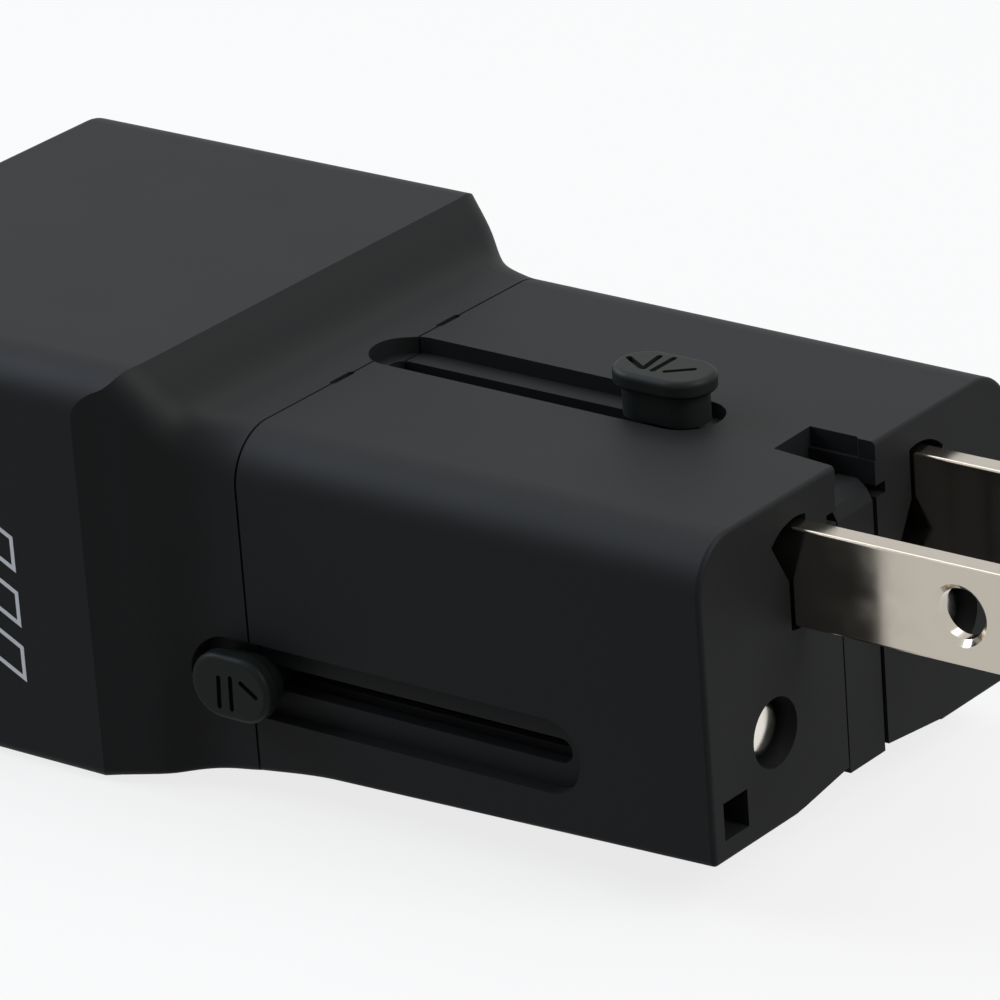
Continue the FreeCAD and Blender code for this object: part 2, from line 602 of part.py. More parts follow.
def make_us_carriage():
    """Upper carriage: two saddles for the blade drums and a well for the knob."""
    front = DRUM_FRONT_X
    low = US_PLATE_Z + 0.5
    half = RAIL_INNER_Y - 0.15
    drum_back = front - DRUM_LENGTH - 0.05
    wall_back = drum_back - 1.4
    inner = BLADE_Y - DRUM_RADIUS - 0.1
    outer = RAIL_INNER_Y - 1.25
    body = box(US_CARRIAGE_REAR_X, front, -half, half, US_PLATE_Z, US_PLATE_Z + US_PLATE_THICK)
    saddle = box(wall_back, front, inner, outer, low, BLADE_Z - 0.05)
    back_wall = box(wall_back, drum_back, inner, outer, low, BLADE_Z + 2.35)
    tower = box(US_KNOB_X - 3.6, US_KNOB_X + 3.6, -3.2, 3.2, low, US_FOOT_Z - 0.42)
    spine = box(US_KNOB_X + 3.0, drum_back, -3.2, 3.2, low, US_FOOT_Z - 3.52)
    body = fuse(body, saddle, mirror_y(saddle), back_wall, mirror_y(back_wall), tower, spine)
    for side in (-1, 1):
        y = side * BLADE_Y
        cradle = rod(drum_back, y, BLADE_Z, "x", DRUM_RADIUS + 0.05, DRUM_LENGTH + 2)
        collar = rod(drum_back + 1.4, y, BLADE_Z, "x", DRUM_RADIUS + 0.5, 1.0)
        collar = collar.cut(
            rod(drum_back + 1.3, y, BLADE_Z, "x", DRUM_GROOVE_RADIUS + 0.07, 1.2)
        )
        reach = DRUM_RADIUS + 0.1
        collar = collar.common(
            box(drum_back, front, y - reach, y + reach, US_PLATE_Z + 0.2, BLADE_Z - 0.15)
        )
        body = body.cut(cradle).fuse(collar)
        body = body.cut(rod(drum_back - 2, y, BLADE_Z, "x", STUB_RADIUS + 0.1, 3.0))
    # Room round the folding pin's bay
    bay_back = FACE_X - FOLD_BAY_DEPTH - FOLD_BAY_WALL - 0.3
    bay_half = FOLD_BAY_HALF_WIDTH + FOLD_BAY_WALL + 0.2 - FOLD_Y
    body = body.cut(box(bay_back, front + 1, -bay_half, bay_half, 0, 40))
    # Well for the knob's foot and spring
    well_x = 0.5 * FOOT_LENGTH + 0.2
    well_y = 0.5 * FOOT_WIDTH + 0.5
    body = body.cut(
        box(US_KNOB_X - well_x, US_KNOB_X + well_x, -well_y, well_y, WELL_FLOOR_Z, 25)
    )
    # Click notch for the drawn-in end of the travel
    notch = rod(US_DETENT_X + US_TRAVEL, US_DETENT_Y - 1.6, US_PLATE_Z - 0.25, "y", 0.7, 3.2)
    return body.cut(notch).removeSplitter()


def make_knob(length, width, top, low, foot_z):
    """A push knob pointing up along +Z: an overhanging cap, a waist, a stem and a foot.

    The waist starts at low, the cap ends at top, and the foot's upper face lies at foot_z.
    """
    straight, radius = stadium(length, width)
    brim = top - KNOB_CAP_THICK
    cap = slot_up(-straight, straight, 0.0, radius, brim, top)
    cap = round_edges(cap, 0.4, lambda e: all_at(e, 2, top))
    cap = round_edges(cap, 0.25, lambda e: all_at(e, 2, brim))
    waist = slot_up(-straight, straight, 0.0, radius - KNOB_WAIST_INSET, low, brim + 0.3)
    stem = box(-0.5 * STEM_LENGTH, 0.5 * STEM_LENGTH, -0.5 * STEM_WIDTH, 0.5 * STEM_WIDTH,
               foot_z - 0.5, low + 0.3)
    foot = box(-0.5 * FOOT_LENGTH, 0.5 * FOOT_LENGTH, -0.5 * FOOT_WIDTH, 0.5 * FOOT_WIDTH,
               foot_z - FOOT_THICK, foot_z)
    return fuse(cap, waist, stem, foot)


def groove(x0, y0, x1, y1, width, z, depth):
    """A straight rounded groove cut into a level top at z."""
    dx = x1 - x0
    dy = y1 - y0
    length = math.hypot(dx, dy)
    bar = slot_up(0.0, length, 0.0, 0.5 * width, z - depth, z + 1.0)
    bar.rotate(Vector(0, 0, 0), Vector(0, 0, 1), math.degrees(math.atan2(dy, dx)))
    bar.translate(Vector(x0, y0, 0))
    return bar


def make_us_button():
    """Upper knob: two upright bars between two leaning ones."""
    top = BLOCK_TOP_Z + US_KNOB_RISE
    low = BLOCK_TOP_Z - TRACK_DEPTH + PRESS_ROOM
    knob = make_knob(US_KNOB_LENGTH, US_KNOB_WIDTH, top, low, US_FOOT_Z)
    bars = [
        (-2.75, 0.15, -1.15, -0.8),
        (-0.95, -0.8, -1.2, 1.15),
        (-0.25, -0.85, -0.25, 1.3),
        (0.55, -0.65, 1.85, 0.45),
    ]
    for x0, y0, x1, y1 in bars:
        knob = knob.cut(groove(x0, y0, x1, y1, 0.4, top, MARK_DEPTH))
    knob.translate(Vector(US_KNOB_X, 0, 0))
    return knob


def make_eu_button():
    """Side knob: two upright bars and a leaning one."""
    top = EU_KNOB_RISE
    low = -TRACK_DEPTH + PRESS_ROOM
    knob = make_knob(EU_KNOB_LENGTH, EU_KNOB_WIDTH, top, low, EU_FOOT_Y - BLOCK_HALF_WIDTH)
    bars = [
        (-0.75, 0.6, -0.85, -1.3),
        (0.18, 0.75, 0.12, -1.3),
        (1.0, 0.6, 2.1, -0.1),
    ]
    for x0, y0, x1, y1 in bars:
        knob = knob.cut(groove(x0, y0, x1, y1, 0.34, top, MARK_DEPTH))
    knob.rotate(Vector(0, 0, 0), Vector(1, 0, 0), 90)
    knob.translate(Vector(EU_KNOB_X, -BLOCK_HALF_WIDTH, EU_KNOB_Z))
    return knob


def coil(turns, radius, wire, height, base, sideways=False):
    """A compression spring standing on base along +Z, or along -Y when it lies sideways."""
    run = height - 2 * wire
    path = Part.makeHelix(run / turns, run, radius)
    ring = Part.Wire(Part.makeCircle(wire, Vector(radius, 0, 0), Vector(0, 1, 0)))
    for piece in (path, ring):
        piece.translate(Vector(0, 0, wire))
        if sideways:
            piece.rotate(Vector(0, 0, 0), Vector(1, 0, 0), 90)
        piece.translate(base)
    return Part.Wire(path.Edges).makePipeShell([ring], True, False)


def make_blade(side):
    """One flat blade with its hole, tang and rear contact stub."""
    drum_front = DRUM_FRONT_X
    tip = FACE_X + BLADE_REACH
    half_t = 0.5 * BLADE_THICK
    half_w = 0.5 * BLADE_WIDTH
    blade = prism(
        [
            (drum_front, -half_t, -half_w),
            (tip - BLADE_CORNER, -half_t, -half_w),
            (tip, -half_t, -half_w + BLADE_CORNER),
            (tip, -half_t, half_w - BLADE_CORNER),
            (tip - BLADE_CORNER, -half_t, half_w),
            (drum_front, -half_t, half_w),
        ],
        (0, BLADE_THICK, 0),
    )
    blade = round_edges(
        blade, 0.16,
        lambda e: abs(abs(e.CenterOfMass.y) - half_t) < 0.01 and e.CenterOfMass.x > drum_front + 1,
    )
    hole = rod(BLADE_HOLE_X, -2, 0, "y", BLADE_HOLE_RADIUS, 4)
    for sign in (-1, 1):
        cone = Part.makeCone(
            BLADE_HOLE_RADIUS + BLADE_HOLE_SINK, BLADE_HOLE_RADIUS, BLADE_HOLE_SINK,
            Vector(BLADE_HOLE_X, sign * half_t, 0), Vector(0, -sign, 0)
        )
        hole = hole.fuse(cone)
    blade = blade.cut(hole)
    tang = box(drum_front - DRUM_LENGTH, drum_front + 0.2, -half_t, half_t,
               -0.5 * TANG_WIDTH, 0.5 * TANG_WIDTH)
    stub = rod(drum_front - DRUM_LENGTH - STUB_LENGTH, 0, 0, "x", STUB_RADIUS, STUB_LENGTH)
    blade = fuse(blade, tang, stub)
    blade.translate(Vector(0, side * BLADE_Y, BLADE_Z))
    return blade


def make_drum(side):
    """The turning drum moulded round a blade's tang."""
    front = DRUM_FRONT_X
    back = front - DRUM_LENGTH
    drum = rod(back, 0, 0, "x", DRUM_RADIUS, DRUM_LENGTH - 0.02)
    ring = rod(back + 1.35, 0, 0, "x", DRUM_RADIUS + 1, 1.2)
    ring = ring.cut(rod(back + 1.3, 0, 0, "x", DRUM_GROOVE_RADIUS, 1.3))
    drum = drum.cut(ring)
    half_t = 0.5 * BLADE_THICK
    drum = drum.cut(box(back - 1, front + 1, -half_t, half_t, -0.5 * TANG_WIDTH,
                        0.5 * TANG_WIDTH))
    drum.translate(Vector(0, side * BLADE_Y, BLADE_Z))
    return drum


def make_us_slide_contacts():
    """Bent strips behind the drums that reach out to the mains strips."""
    back = DRUM_FRONT_X - DRUM_LENGTH - STUB_LENGTH
    reach = STRIP_INNER_Y - 0.3
    low = BLADE_Z - 0.85
    strip = prism(
        [
            (back - 0.4, BLADE_Y - 1.15, low),
            (back - 0.02, BLADE_Y - 1.15, low),
            (back - 0.02, reach - 0.95, low),
            (back + 1.4, reach - 0.25, low),
            (back + 1.2, reach, low),
            (back - 0.4, reach - 0.75, low),
        ],
        (0, 0, 1.7),
    )
    return [strip, mirror_y(strip)]


def make_eu_slide_contacts():
    """Flat strips on the lower carriage's bosses that meet the mains strips when it is out."""
    front = EU_BOSS_FRONT_X
    side_y = EU_PLATE_HALF
    strip = box(front - 3.4, front - 0.2, side_y, side_y + 0.25, PIN_Z - 0.75, PIN_Z + 0.75)
    return [strip, mirror_y(strip)]


def make_mains_strips():
    """Fixed live and neutral strips that both pin sets can reach."""
    inner = STRIP_INNER_Y
    outer = STRIP_OUTER_Y
    front = STRIP_FRONT_X
    strip = box(CHASSIS_REAR_X, front, inner, outer, BLADE_Z - 2.45, BLADE_Z + 1.35)
    branch = box(front - 2.5, front, inner, outer, PIN_Z - 0.96, BLADE_Z - 2.25)
    wipe_x = DRUM_FRONT_X - DRUM_LENGTH - STUB_LENGTH + 0.85
    dip = inner - 0.23
    us_dimple = prism(
        [
            (wipe_x - 2.7, inner + 0.05, BLADE_Z - 1.25),
            (wipe_x - 0.8, dip, BLADE_Z - 1.25),
            (wipe_x + 0.8, dip, BLADE_Z - 1.25),
            (wipe_x + 2.7, inner + 0.05, BLADE_Z - 1.25),
        ],
        (0, 0, 2.4),
    )
    eu_dimple = prism(
        [
            (front - 2.4, inner + 0.05, PIN_Z - 0.76),
            (front - 1.8, dip, PIN_Z - 0.76),
            (front - 0.7, dip, PIN_Z - 0.76),
            (front - 0.1, inner + 0.05, PIN_Z - 0.76),
        ],
        (0, 0, 1.6),
    )
    right = fuse(strip, branch, us_dimple, eu_dimple)
    return [mirror_y(right), right]


def make_eu_carriage():
    """Lower carriage: two bosses that hold the round pins and a well for the knob."""
    boss_front = EU_BOSS_FRONT_X
    boss_back = boss_front - EU_BOSS_LENGTH
    rear = EU_CARRIAGE_REAR_X
    half = EU_PLATE_HALF
    top = EU_PLATE_TOP_Z
    parts = [box(rear, boss_back + 1.2, -half, half, top - 1.6, top)]
    for side in (-1, 1):
        y = side * PIN_Y
        parts.append(rod(boss_back, y, PIN_Z, "x", BOSS_RADIUS, EU_BOSS_LENGTH))
        parts.append(box(boss_back, boss_front, y - BOSS_RADIUS, y + BOSS_RADIUS, PIN_Z, top))
        parts.append(box(rear, boss_back + 0.5, y - BOSS_RADIUS, y + BOSS_RADIUS,
                         EU_PLATE_FLOOR_Z, top))
    parts.append(box(EU_KNOB_X - 3.2, EU_KNOB_X + 3.2, 0.2 - SKIRT_INNER_Y, BOSS_RADIUS - PIN_Y,
                     EU_PLATE_FLOOR_Z, top))
    body = fuse(*parts)
    for side in (-1, 1):
        body = body.cut(rod(boss_back - 1.0, side * PIN_Y, PIN_Z, "x", PIN_NECK_RADIUS, 12))
    # Well for the knob's foot and spring, open to the side
    well_x = 0.5 * FOOT_LENGTH + 0.2
    body = body.cut(box(EU_KNOB_X - well_x, EU_KNOB_X + well_x, -20, -WELL_FLOOR_Y,
                        EU_FOOT_LOW, EU_KNOB_Z + 1.8))
    # Click notch for the pushed-out end of the travel
    notch = rod(EU_DETENT_X - EU_TRAVEL, EU_DETENT_Y - 1.6, top + 0.25, "y", 0.7, 3.2)
    return body.cut(notch).removeSplitter()


def make_eu_pin(side):
    """One round pin with a bare blunt tip and a thinner sleeved neck."""
    tip = FACE_X - PIN_RECESS
    bare = FACE_X - EU_TRAVEL + PIN_SLEEVE_REACH
    start = EU_BOSS_FRONT_X - EU_BOSS_LENGTH - 0.8
    neck = rod(start, 0, 0, "x", PIN_NECK_RADIUS, bare - start + 0.2)
    shaft = rod(bare, 0, 0, "x", PIN_RADIUS, tip - bare)
    shaft = round_edges(shaft, PIN_TIP_ROUNDING, lambda e: all_at(e, 0, tip))
    pin = fuse(neck, shaft)
    pin.translate(Vector(0, side * PIN_Y, PIN_Z))
    return pin


def make_eu_pin_sleeves():
    """Insulating sleeves on the pins' necks."""
    bare = FACE_X - EU_TRAVEL + PIN_SLEEVE_REACH
    start = EU_BOSS_FRONT_X
    sleeves = []
    for side in (-1, 1):
        sleeve = rod(start, side * PIN_Y, PIN_Z, "x", PIN_RADIUS - 0.02, bare - start)
        sleeve = sleeve.cut(rod(start - 1, side * PIN_Y, PIN_Z, "x", PIN_NECK_RADIUS, 30))
        sleeves.append(sleeve)
    return sleeves


def make_folding_pin():
    """The flat plastic centre pin that hangs in its bay and swings out."""
    front = FACE_X - 0.1
    back = front - FOLD_THICK
    outline = [
        (front, FOLD_TIP_Z),
        (front, FOLD_PIVOT_Z - 0.5),
        (front - 0.4, FOLD_PIVOT_Z + 0.25),
        (front - 1.0, FOLD_PIVOT_Z + 0.75),
        (back + 1.1, FOLD_PIVOT_Z + 0.75),
        (back, FOLD_PIVOT_Z - 0.2),
        (back, FOLD_TIP_Z + 0.7),
        (back + 0.7, FOLD_TIP_Z),
    ]
    low = FOLD_Y - FOLD_HALF_WIDTH
    pin = prism([(x, low, z) for x, z in outline], (0, 2 * FOLD_HALF_WIDTH, 0))
    bore = rod(FOLD_PIVOT_X, -5, FOLD_PIVOT_Z, "y", FOLD_AXLE_RADIUS + 0.03, 10)
    return pin.cut(bore)


def make_folding_pin_axle():
    """The steel axle of the centre pin."""
    half = FOLD_BAY_HALF_WIDTH + FOLD_BAY_WALL + 0.3
    return rod(FOLD_PIVOT_X, FOLD_Y - half, FOLD_PIVOT_Z, "y", FOLD_AXLE_RADIUS, 2 * half)


def make_boards():
    """Main board, port board and the barrier towards the plug."""
    main = box(BOARD_REAR_X, BOARD_FRONT_X, -BOARD_HALF, BOARD_HALF, BOARD_Z, BOARD_TOP_Z)
    for y in (-BOARD_SCREW_Y, BOARD_SCREW_Y):
        main = main.cut(rod(BOARD_SCREW_X, y, 0, "z", 1.05, 10))
    half = HEAD_ROOM_HALF - 1.0
    ports = box(PORT_BOARD_X, PORT_BOARD_X + BOARD_THICK, -half, half,
                HEAD_ROOM_LOW_Z + 1.2, HEAD_ROOM_HIGH_Z - 1.33)
    half = HEAD_ROOM_HALF - 0.8
    barrier = box(BARRIER_X, BARRIER_X + BARRIER_THICK, -half, half,
                  BOARD_Z - 1.0, HEAD_ROOM_HIGH_Z - 0.93)
    for side in (-1, 1):
        barrier = barrier.cut(
            rod(BARRIER_X - 1, side * LEAD_Y, LEAD_Z, "x", LEAD_RADIUS + 0.35, 3.0)
        )
    return main, ports, barrier


def make_board_screws():
    """Two identical pan-head screws that hold the main board."""
    x = BOARD_SCREW_X
    top = BOARD_TOP_Z
    low = HEAD_ROOM_LOW_Z + 0.1
    screws = []
    for y in (-BOARD_SCREW_Y, BOARD_SCREW_Y):
        head = rod(x, y, top, "z", 1.8, 1.2)
        shank = rod(x, y, low, "z", 0.95, top - low)
        cross = fuse(
            box(x - 1.0, x + 1.0, y - 0.2, y + 0.2, top + 0.7, top + 2),
            box(x - 0.2, x + 0.2, y - 1.0, y + 1.0, top + 0.7, top + 2),
        )
        screws.append(fuse(head, shank).cut(cross))
    return screws


def upright_corner(edge):
    """True for a long edge that runs along Z."""
    first = edge.valueAt(edge.FirstParameter)
    last = edge.valueAt(edge.LastParameter)
    level = abs(first.x - last.x) < 0.01 and abs(first.y - last.y) < 0.01
    return level and edge.Length > 7.0


def make_transformer():
    """Core and winding of the power transformer."""
    x = TRANSFORMER_X
    low = BOARD_TOP_Z
    high = low + CORE_HEIGHT
    window = CORE_HALF_LENGTH - CORE_YOKE
    core = box(x - CORE_HALF_LENGTH, x + CORE_HALF_LENGTH, -CORE_HALF, CORE_HALF, low, high)
    core = core.cut(
        box(x - window, x + window, -CORE_HALF - 1, CORE_HALF + 1,
            low + CORE_PLATE, high - CORE_PLATE)
    )
    leg = box(x - CORE_LEG_HALF, x + CORE_LEG_HALF, -CORE_HALF, CORE_HALF, low + 2, high - 2)
    core = fuse(core, leg)
    gap = 0.1
    winding = box(x - window + gap, x + window - gap, -WINDING_HALF, WINDING_HALF,
                  low + CORE_PLATE + gap, high - CORE_PLATE - gap)
    winding = round_edges(winding, 1.4, upright_corner)
    return core, winding.cut(leg)


def standing_can(x, y, radius, height):
    """An electrolytic capacitor standing on the main board."""
    z0 = BOARD_TOP_Z
    can = rod(x, y, z0, "z", radius, height)
    can = round_edges(can, 0.4, lambda e: all_at(e, 2, z0 + height))
    groove_ring = rod(x, y, z0 + 1.2, "z", radius + 1, 0.5)
    groove_ring = groove_ring.cut(rod(x, y, z0 + 1.0, "z", radius - 0.25, 1.0))
    return can.cut(groove_ring)


def make_bulk_capacitors():
    """Two mains capacitors of different sizes beside the transformer."""
    tall = CAN_ROOM_Z - BOARD_TOP_Z
    edge = 0.5 - BOARD_HALF
    wide = standing_can(TRANSFORMER_X + 3.7, edge + BULK_CAN_RADIUS, BULK_CAN_RADIUS, tall)
    slim_y = edge + SMALL_CAN_RADIUS + 3.1
    slim = standing_can(TRANSFORMER_X - 4.1, slim_y, SMALL_CAN_RADIUS, tall - 2.0)
    return [wide, slim]


def make_output_capacitor():
    """The capacitor that smooths the charging voltage."""
    y = WINDING_HALF + SMALL_CAN_RADIUS + 0.2
    return standing_can(TRANSFORMER_X - 3.7, y, SMALL_CAN_RADIUS, OUTPUT_CAN_HEIGHT)


def make_choke():
    """Common-mode choke: a wound ring standing on the board."""
    z = BOARD_TOP_Z + CHOKE_RING_RADIUS + CHOKE_WIRE_RADIUS + 0.02
    centre = Vector(TRANSFORMER_X + 3.5, BOARD_HALF - 4.2, z)
    return Part.makeTorus(CHOKE_RING_RADIUS, CHOKE_WIRE_RADIUS, centre, Vector(0, 1, 0))


def make_fuse():
    """Sleeved fuse link, upright beside the lead's foot."""
    return rod(FUSE_X, BOARD_HALF - 1.6, BOARD_TOP_Z, "z", FUSE_RADIUS, FUSE_HEIGHT)


def make_power_chips():
    """Switching and rectifier chips on the boards."""
    low = BOARD_TOP_Z
    front = BOARD_FRONT_X
    edge = BOARD_HALF
    beside_lead = LEAD_Y - LEAD_RADIUS
    chips = [
        box(front - 4.2, front - 1.0, 0.65 - beside_lead, 4.85 - beside_lead, low, low + 1.4),
        box(TRANSFORMER_X - 3.3, TRANSFORMER_X + 1.5, edge - 2.5, edge - 0.5, low, low + 1.2),
        box(front - 4.4, front - 2.4, beside_lead - 3.65, beside_lead - 1.65, low, low + 1.0),
    ]
    back = PORT_BOARD_X + BOARD_THICK
    for y, z in ((C_PORT_Y, A_PORT_Z), (A_PORT_Y, A_PORT_Z + 5.4)):
        chips.append(box(back, back + 0.9, y - 2, y + 2, z - 2, z + 2))
    return chips


def make_x_capacitor():
    """Box-shaped mains capacitor between the transformer and the barrier."""
    front = BOARD_FRONT_X - 0.4
    top = BOARD_TOP_Z + X_CAPACITOR_HEIGHT
    body = box(front - X_CAPACITOR_THICK, front, -X_CAPACITOR_HALF, X_CAPACITOR_HALF,
               BOARD_TOP_Z, top)
    return round_edges(body, 0.4, lambda e: all_at(e, 2, top))


def make_heat_spreader():
    """Thin sheet under the head's roof that spreads the heat."""
    half = BOARD_HALF - 2.8
    return box(BOARD_REAR_X + 0.5, BOARD_FRONT_X - 0.8, -half, half,
               SPREADER_Z, SPREADER_Z + SPREADER_THICK)


def make_usb_c():
    """Metal shells and inner tongues of the two oval ports."""
    straight, radius = stadium(C_PORT_WIDTH, C_PORT_HEIGHT)
    length = PORT_BOARD_X - (REAR_X + 0.25)
    shells = []
    tongues = []
    for z in C_PORT_Z:
        x0 = REAR_X + 0.25
        outer = fuse(
            box(x0, x0 + length, C_PORT_Y - straight, C_PORT_Y + straight, z - radius, z + radius),
            rod(x0, C_PORT_Y - straight, z, "x", radius, length),
            rod(x0, C_PORT_Y + straight, z, "x", radius, length),
        )
        r = radius - 0.32
        deep = length - 0.8
        inner = fuse(
            box(x0 - 1, x0 + deep, C_PORT_Y - straight, C_PORT_Y + straight, z - r, z + r),
            rod(x0 - 1, C_PORT_Y - straight, z, "x", r, deep + 1),
            rod(x0 - 1, C_PORT_Y + straight, z, "x", r, deep + 1),
        )
        shells.append(outer.cut(inner))
        tongues.append(box(x0 + 0.7, x0 + deep, C_PORT_Y - 3.3, C_PORT_Y + 3.3, z - 0.35, z + 0.35))
    return shells, tongues


def make_usb_a():
    """Metal shell and inner tongue of the wide port."""
    x0 = REAR_X + 0.25
    length = PORT_BOARD_X - x0
    hw = 0.5 * A_PORT_WIDTH
    hh = 0.5 * A_PORT_HEIGHT
    y = A_PORT_Y
    z = A_PORT_Z
    shell = box(x0, x0 + length, y - hw, y + hw, z - hh, z + hh)
    shell = shell.cut(
        box(x0 - 1, x0 + length - 0.8, y - hw + 0.3, y + hw - 0.3, z - hh + 0.3, z + hh - 0.3)
    )
    tongue = box(x0 + 0.6, x0 + length - 0.8, y - hw + 1.0, y + hw - 1.0, z + 0.2, z + 1.9)
    return shell, tongue


def make_mains_leads():
    """Insulated leads from the strips' tails down to the main board."""
    leads = []
    for side in (-1, 1):
        y = side * LEAD_Y
        x = LEAD_DROP_X
        inset = LEAD_BEND * (1 - math.sin(math.radians(45)))
        start = Vector(CHASSIS_REAR_X - 0.1, y, LEAD_Z)
        a = Vector(x + LEAD_BEND, y, LEAD_Z)
        b = Vector(x + inset, y, LEAD_Z - inset)
        c = Vector(x, y, LEAD_Z - LEAD_BEND)
        end = Vector(x, y, BOARD_TOP_Z)
        path = Part.Wire([
            Part.makeLine(start, a),
            Part.Arc(a, b, c).toShape(),
            Part.makeLine(c, end),
        ])
        ring = Part.Wire(Part.makeCircle(LEAD_RADIUS, start, Vector(1, 0, 0)))
        leads.append(path.makePipeShell([ring], True, False))
    return leads


def main():
    """Builds every node and writes its file."""
    os.makedirs("parts", exist_ok=True)
    save("head_shell", make_head_shell())
    save("rear_panel", make_rear_panel())
    save("plug_casing", make_plug_casing())
    save("plug_chassis", make_plug_chassis())
    save("detent_springs", *make_detent_springs())
    board, ports, barrier = make_boards()
    save("main_board", board)
    save("port_board", ports)
    save("mains_barrier", barrier)
    save("board_screws", *make_board_screws())
    core, winding = make_transformer()
    save("transformer_core", core)
    save("transformer_winding", winding)
    save("bulk_capacitors", *make_bulk_capacitors())
    save("output_capacitors", make_output_capacitor())
    save("common_mode_choke", make_choke())
    save("x_capacitor", make_x_capacitor())
    save("fuse_link", make_fuse())
    save("power_chips", *make_power_chips())
    save("heat_spreader", make_heat_spreader())
    shells, tongues = make_usb_c()
    save("usb_c_shells", *shells)
    save("usb_c_tongues", *tongues)
    shell, tongue = make_usb_a()
    save("usb_a_shell", shell)
    save("usb_a_tongue", tongue)
    save("mains_leads", *make_mains_leads())
    save("mains_strips", *make_mains_strips())
    save("us_carriage", make_us_carriage())
    save("us_slide_contacts", *make_us_slide_contacts())
    save("us_button", make_us_button())
    save("us_button_spring", coil(5, 1.35, 0.18, US_FOOT_Z - FOOT_THICK - WELL_FLOOR_Z - 0.04,
                                  Vector(US_KNOB_X, 0, WELL_FLOOR_Z + 0.02)))
    save("blade_left", make_blade(-1))
    save("blade_right", make_blade(1))
    save("blade_drum_left", make_drum(-1))
    save("blade_drum_right", make_drum(1))
    save("eu_carriage", make_eu_carriage())
    save("eu_slide_contacts", *make_eu_slide_contacts())
    save("eu_button", make_eu_button())
    save("eu_button_spring", coil(3, 1.25, 0.18, EU_FOOT_Y - FOOT_THICK - WELL_FLOOR_Y - PRESS_ROOM,
                                  Vector(EU_KNOB_X, -WELL_FLOOR_Y - 0.02, EU_KNOB_Z), True))
    save("eu_pin_left", make_eu_pin(-1))
    save("eu_pin_right", make_eu_pin(1))
    save("eu_pin_sleeves", *make_eu_pin_sleeves())
    save("folding_pin", make_folding_pin())
    save("folding_pin_axle", make_folding_pin_axle())


main()
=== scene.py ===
"""Studio picture of a compact mains travel charger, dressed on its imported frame."""

import logging
import math
from dataclasses import dataclass
from enum import Enum

import bmesh
import bpy
from mathutils import Matrix, Vector


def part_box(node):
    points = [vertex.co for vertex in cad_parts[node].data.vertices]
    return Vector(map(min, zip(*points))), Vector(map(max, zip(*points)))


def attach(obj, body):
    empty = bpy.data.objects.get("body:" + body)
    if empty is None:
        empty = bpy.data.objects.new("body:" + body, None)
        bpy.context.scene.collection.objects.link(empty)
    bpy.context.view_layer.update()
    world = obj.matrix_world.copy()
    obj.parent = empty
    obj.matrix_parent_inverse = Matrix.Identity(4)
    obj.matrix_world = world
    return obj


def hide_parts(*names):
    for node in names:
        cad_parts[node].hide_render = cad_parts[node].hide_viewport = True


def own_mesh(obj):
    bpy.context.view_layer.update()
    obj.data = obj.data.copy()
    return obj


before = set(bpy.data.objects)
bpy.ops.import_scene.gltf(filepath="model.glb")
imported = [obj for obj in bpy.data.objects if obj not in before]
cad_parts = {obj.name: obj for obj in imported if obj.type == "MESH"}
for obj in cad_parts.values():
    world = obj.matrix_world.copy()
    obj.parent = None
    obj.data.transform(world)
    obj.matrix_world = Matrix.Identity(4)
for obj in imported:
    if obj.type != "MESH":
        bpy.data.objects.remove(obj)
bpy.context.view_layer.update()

LOG = logging.getLogger("travel_charger")
MM = 0.001
LAMP_TARGET = Vector((0.03, 0.0, 0.012))
Colour = tuple[float, float, float, float]


class Lamp(Enum):
    """The shapes of studio light in use."""

    RECTANGLE = "RECTANGLE"
    ELLIPSE = "ELLIPSE"


class Repeated(Enum):
    """The small shapes that a row repeats."""

    BLOCK = "block"
    DROP = "drop"


def linear(hex_colour: str, alpha: float = 1.0) -> Colour:
    """Turns an sRGB hex colour into the linear values that Blender mixes.

    Args:
        hex_colour: Six hex digits with a leading hash.
        alpha: Opacity, kept as it is.

    Returns:
        Linear red, green and blue with the opacity.
    """
    parts = [int(hex_colour[i:i + 2], 16) / 255 for i in (1, 3, 5)]
    red, green, blue = (
        p / 12.92 if p <= 0.04045 else ((p + 0.055) / 1.055) ** 2.4 for p in parts
    )
    return (red, green, blue, alpha)


def add_node(
    tree: bpy.types.NodeTree, kind: str, inputs: dict | None = None, **settings,
) -> bpy.types.Node:
    """Adds a node with its settings, and fills or links its inputs.

    Args:
        tree: The node tree that gets the node.
        kind: Blender's name of the node type.
        inputs: Input name or index, each with a value or an output socket to link.
        settings: Attributes of the node, such as operation.

    Returns:
        The new node.
    """
    node = tree.nodes.new(kind)
    for name, value in settings.items():
        setattr(node, name, value)
    for name, value in (inputs or {}).items():
        socket = node.inputs[name]
        if isinstance(value, bpy.types.NodeSocket):
            tree.links.new(value, socket)
        else:
            socket.default_value = value
    return node


def new_material(name: str) -> tuple[bpy.types.Material, bpy.types.NodeTree]:
    """Makes an empty node material.

    Args:
        name: The finish it stands for.

    Returns:
        The material and its node tree, without nodes.
    """
    material = bpy.data.materials.new(name)
    material.use_nodes = True
    tree = material.node_tree
    tree.nodes.clear()
    return material, tree


def close_material(tree: bpy.types.NodeTree, shader: dict) -> None:
    """Ends a material in a Principled shader.

    Args:
        tree: The material's node tree.
        shader: Inputs of the shader, each a value or a socket.
    """
    surface = add_node(tree, "ShaderNodeBsdfPrincipled", shader)
    add_node(tree, "ShaderNodeOutputMaterial", {"Surface": surface.outputs["BSDF"]})


def set_inputs(modifier: bpy.types.NodesModifier, values: dict) -> None:
    """Sets a node modifier's inputs by their sockets' identifiers.

    Args:
        modifier: The modifier, with its node tree.
        values: The value of each input, by the input's name.
    """
    for item in modifier.node_group.interface.items_tree:
        if item.in_out == "INPUT" and item.name in values:
            modifier[item.identifier] = values[item.name]


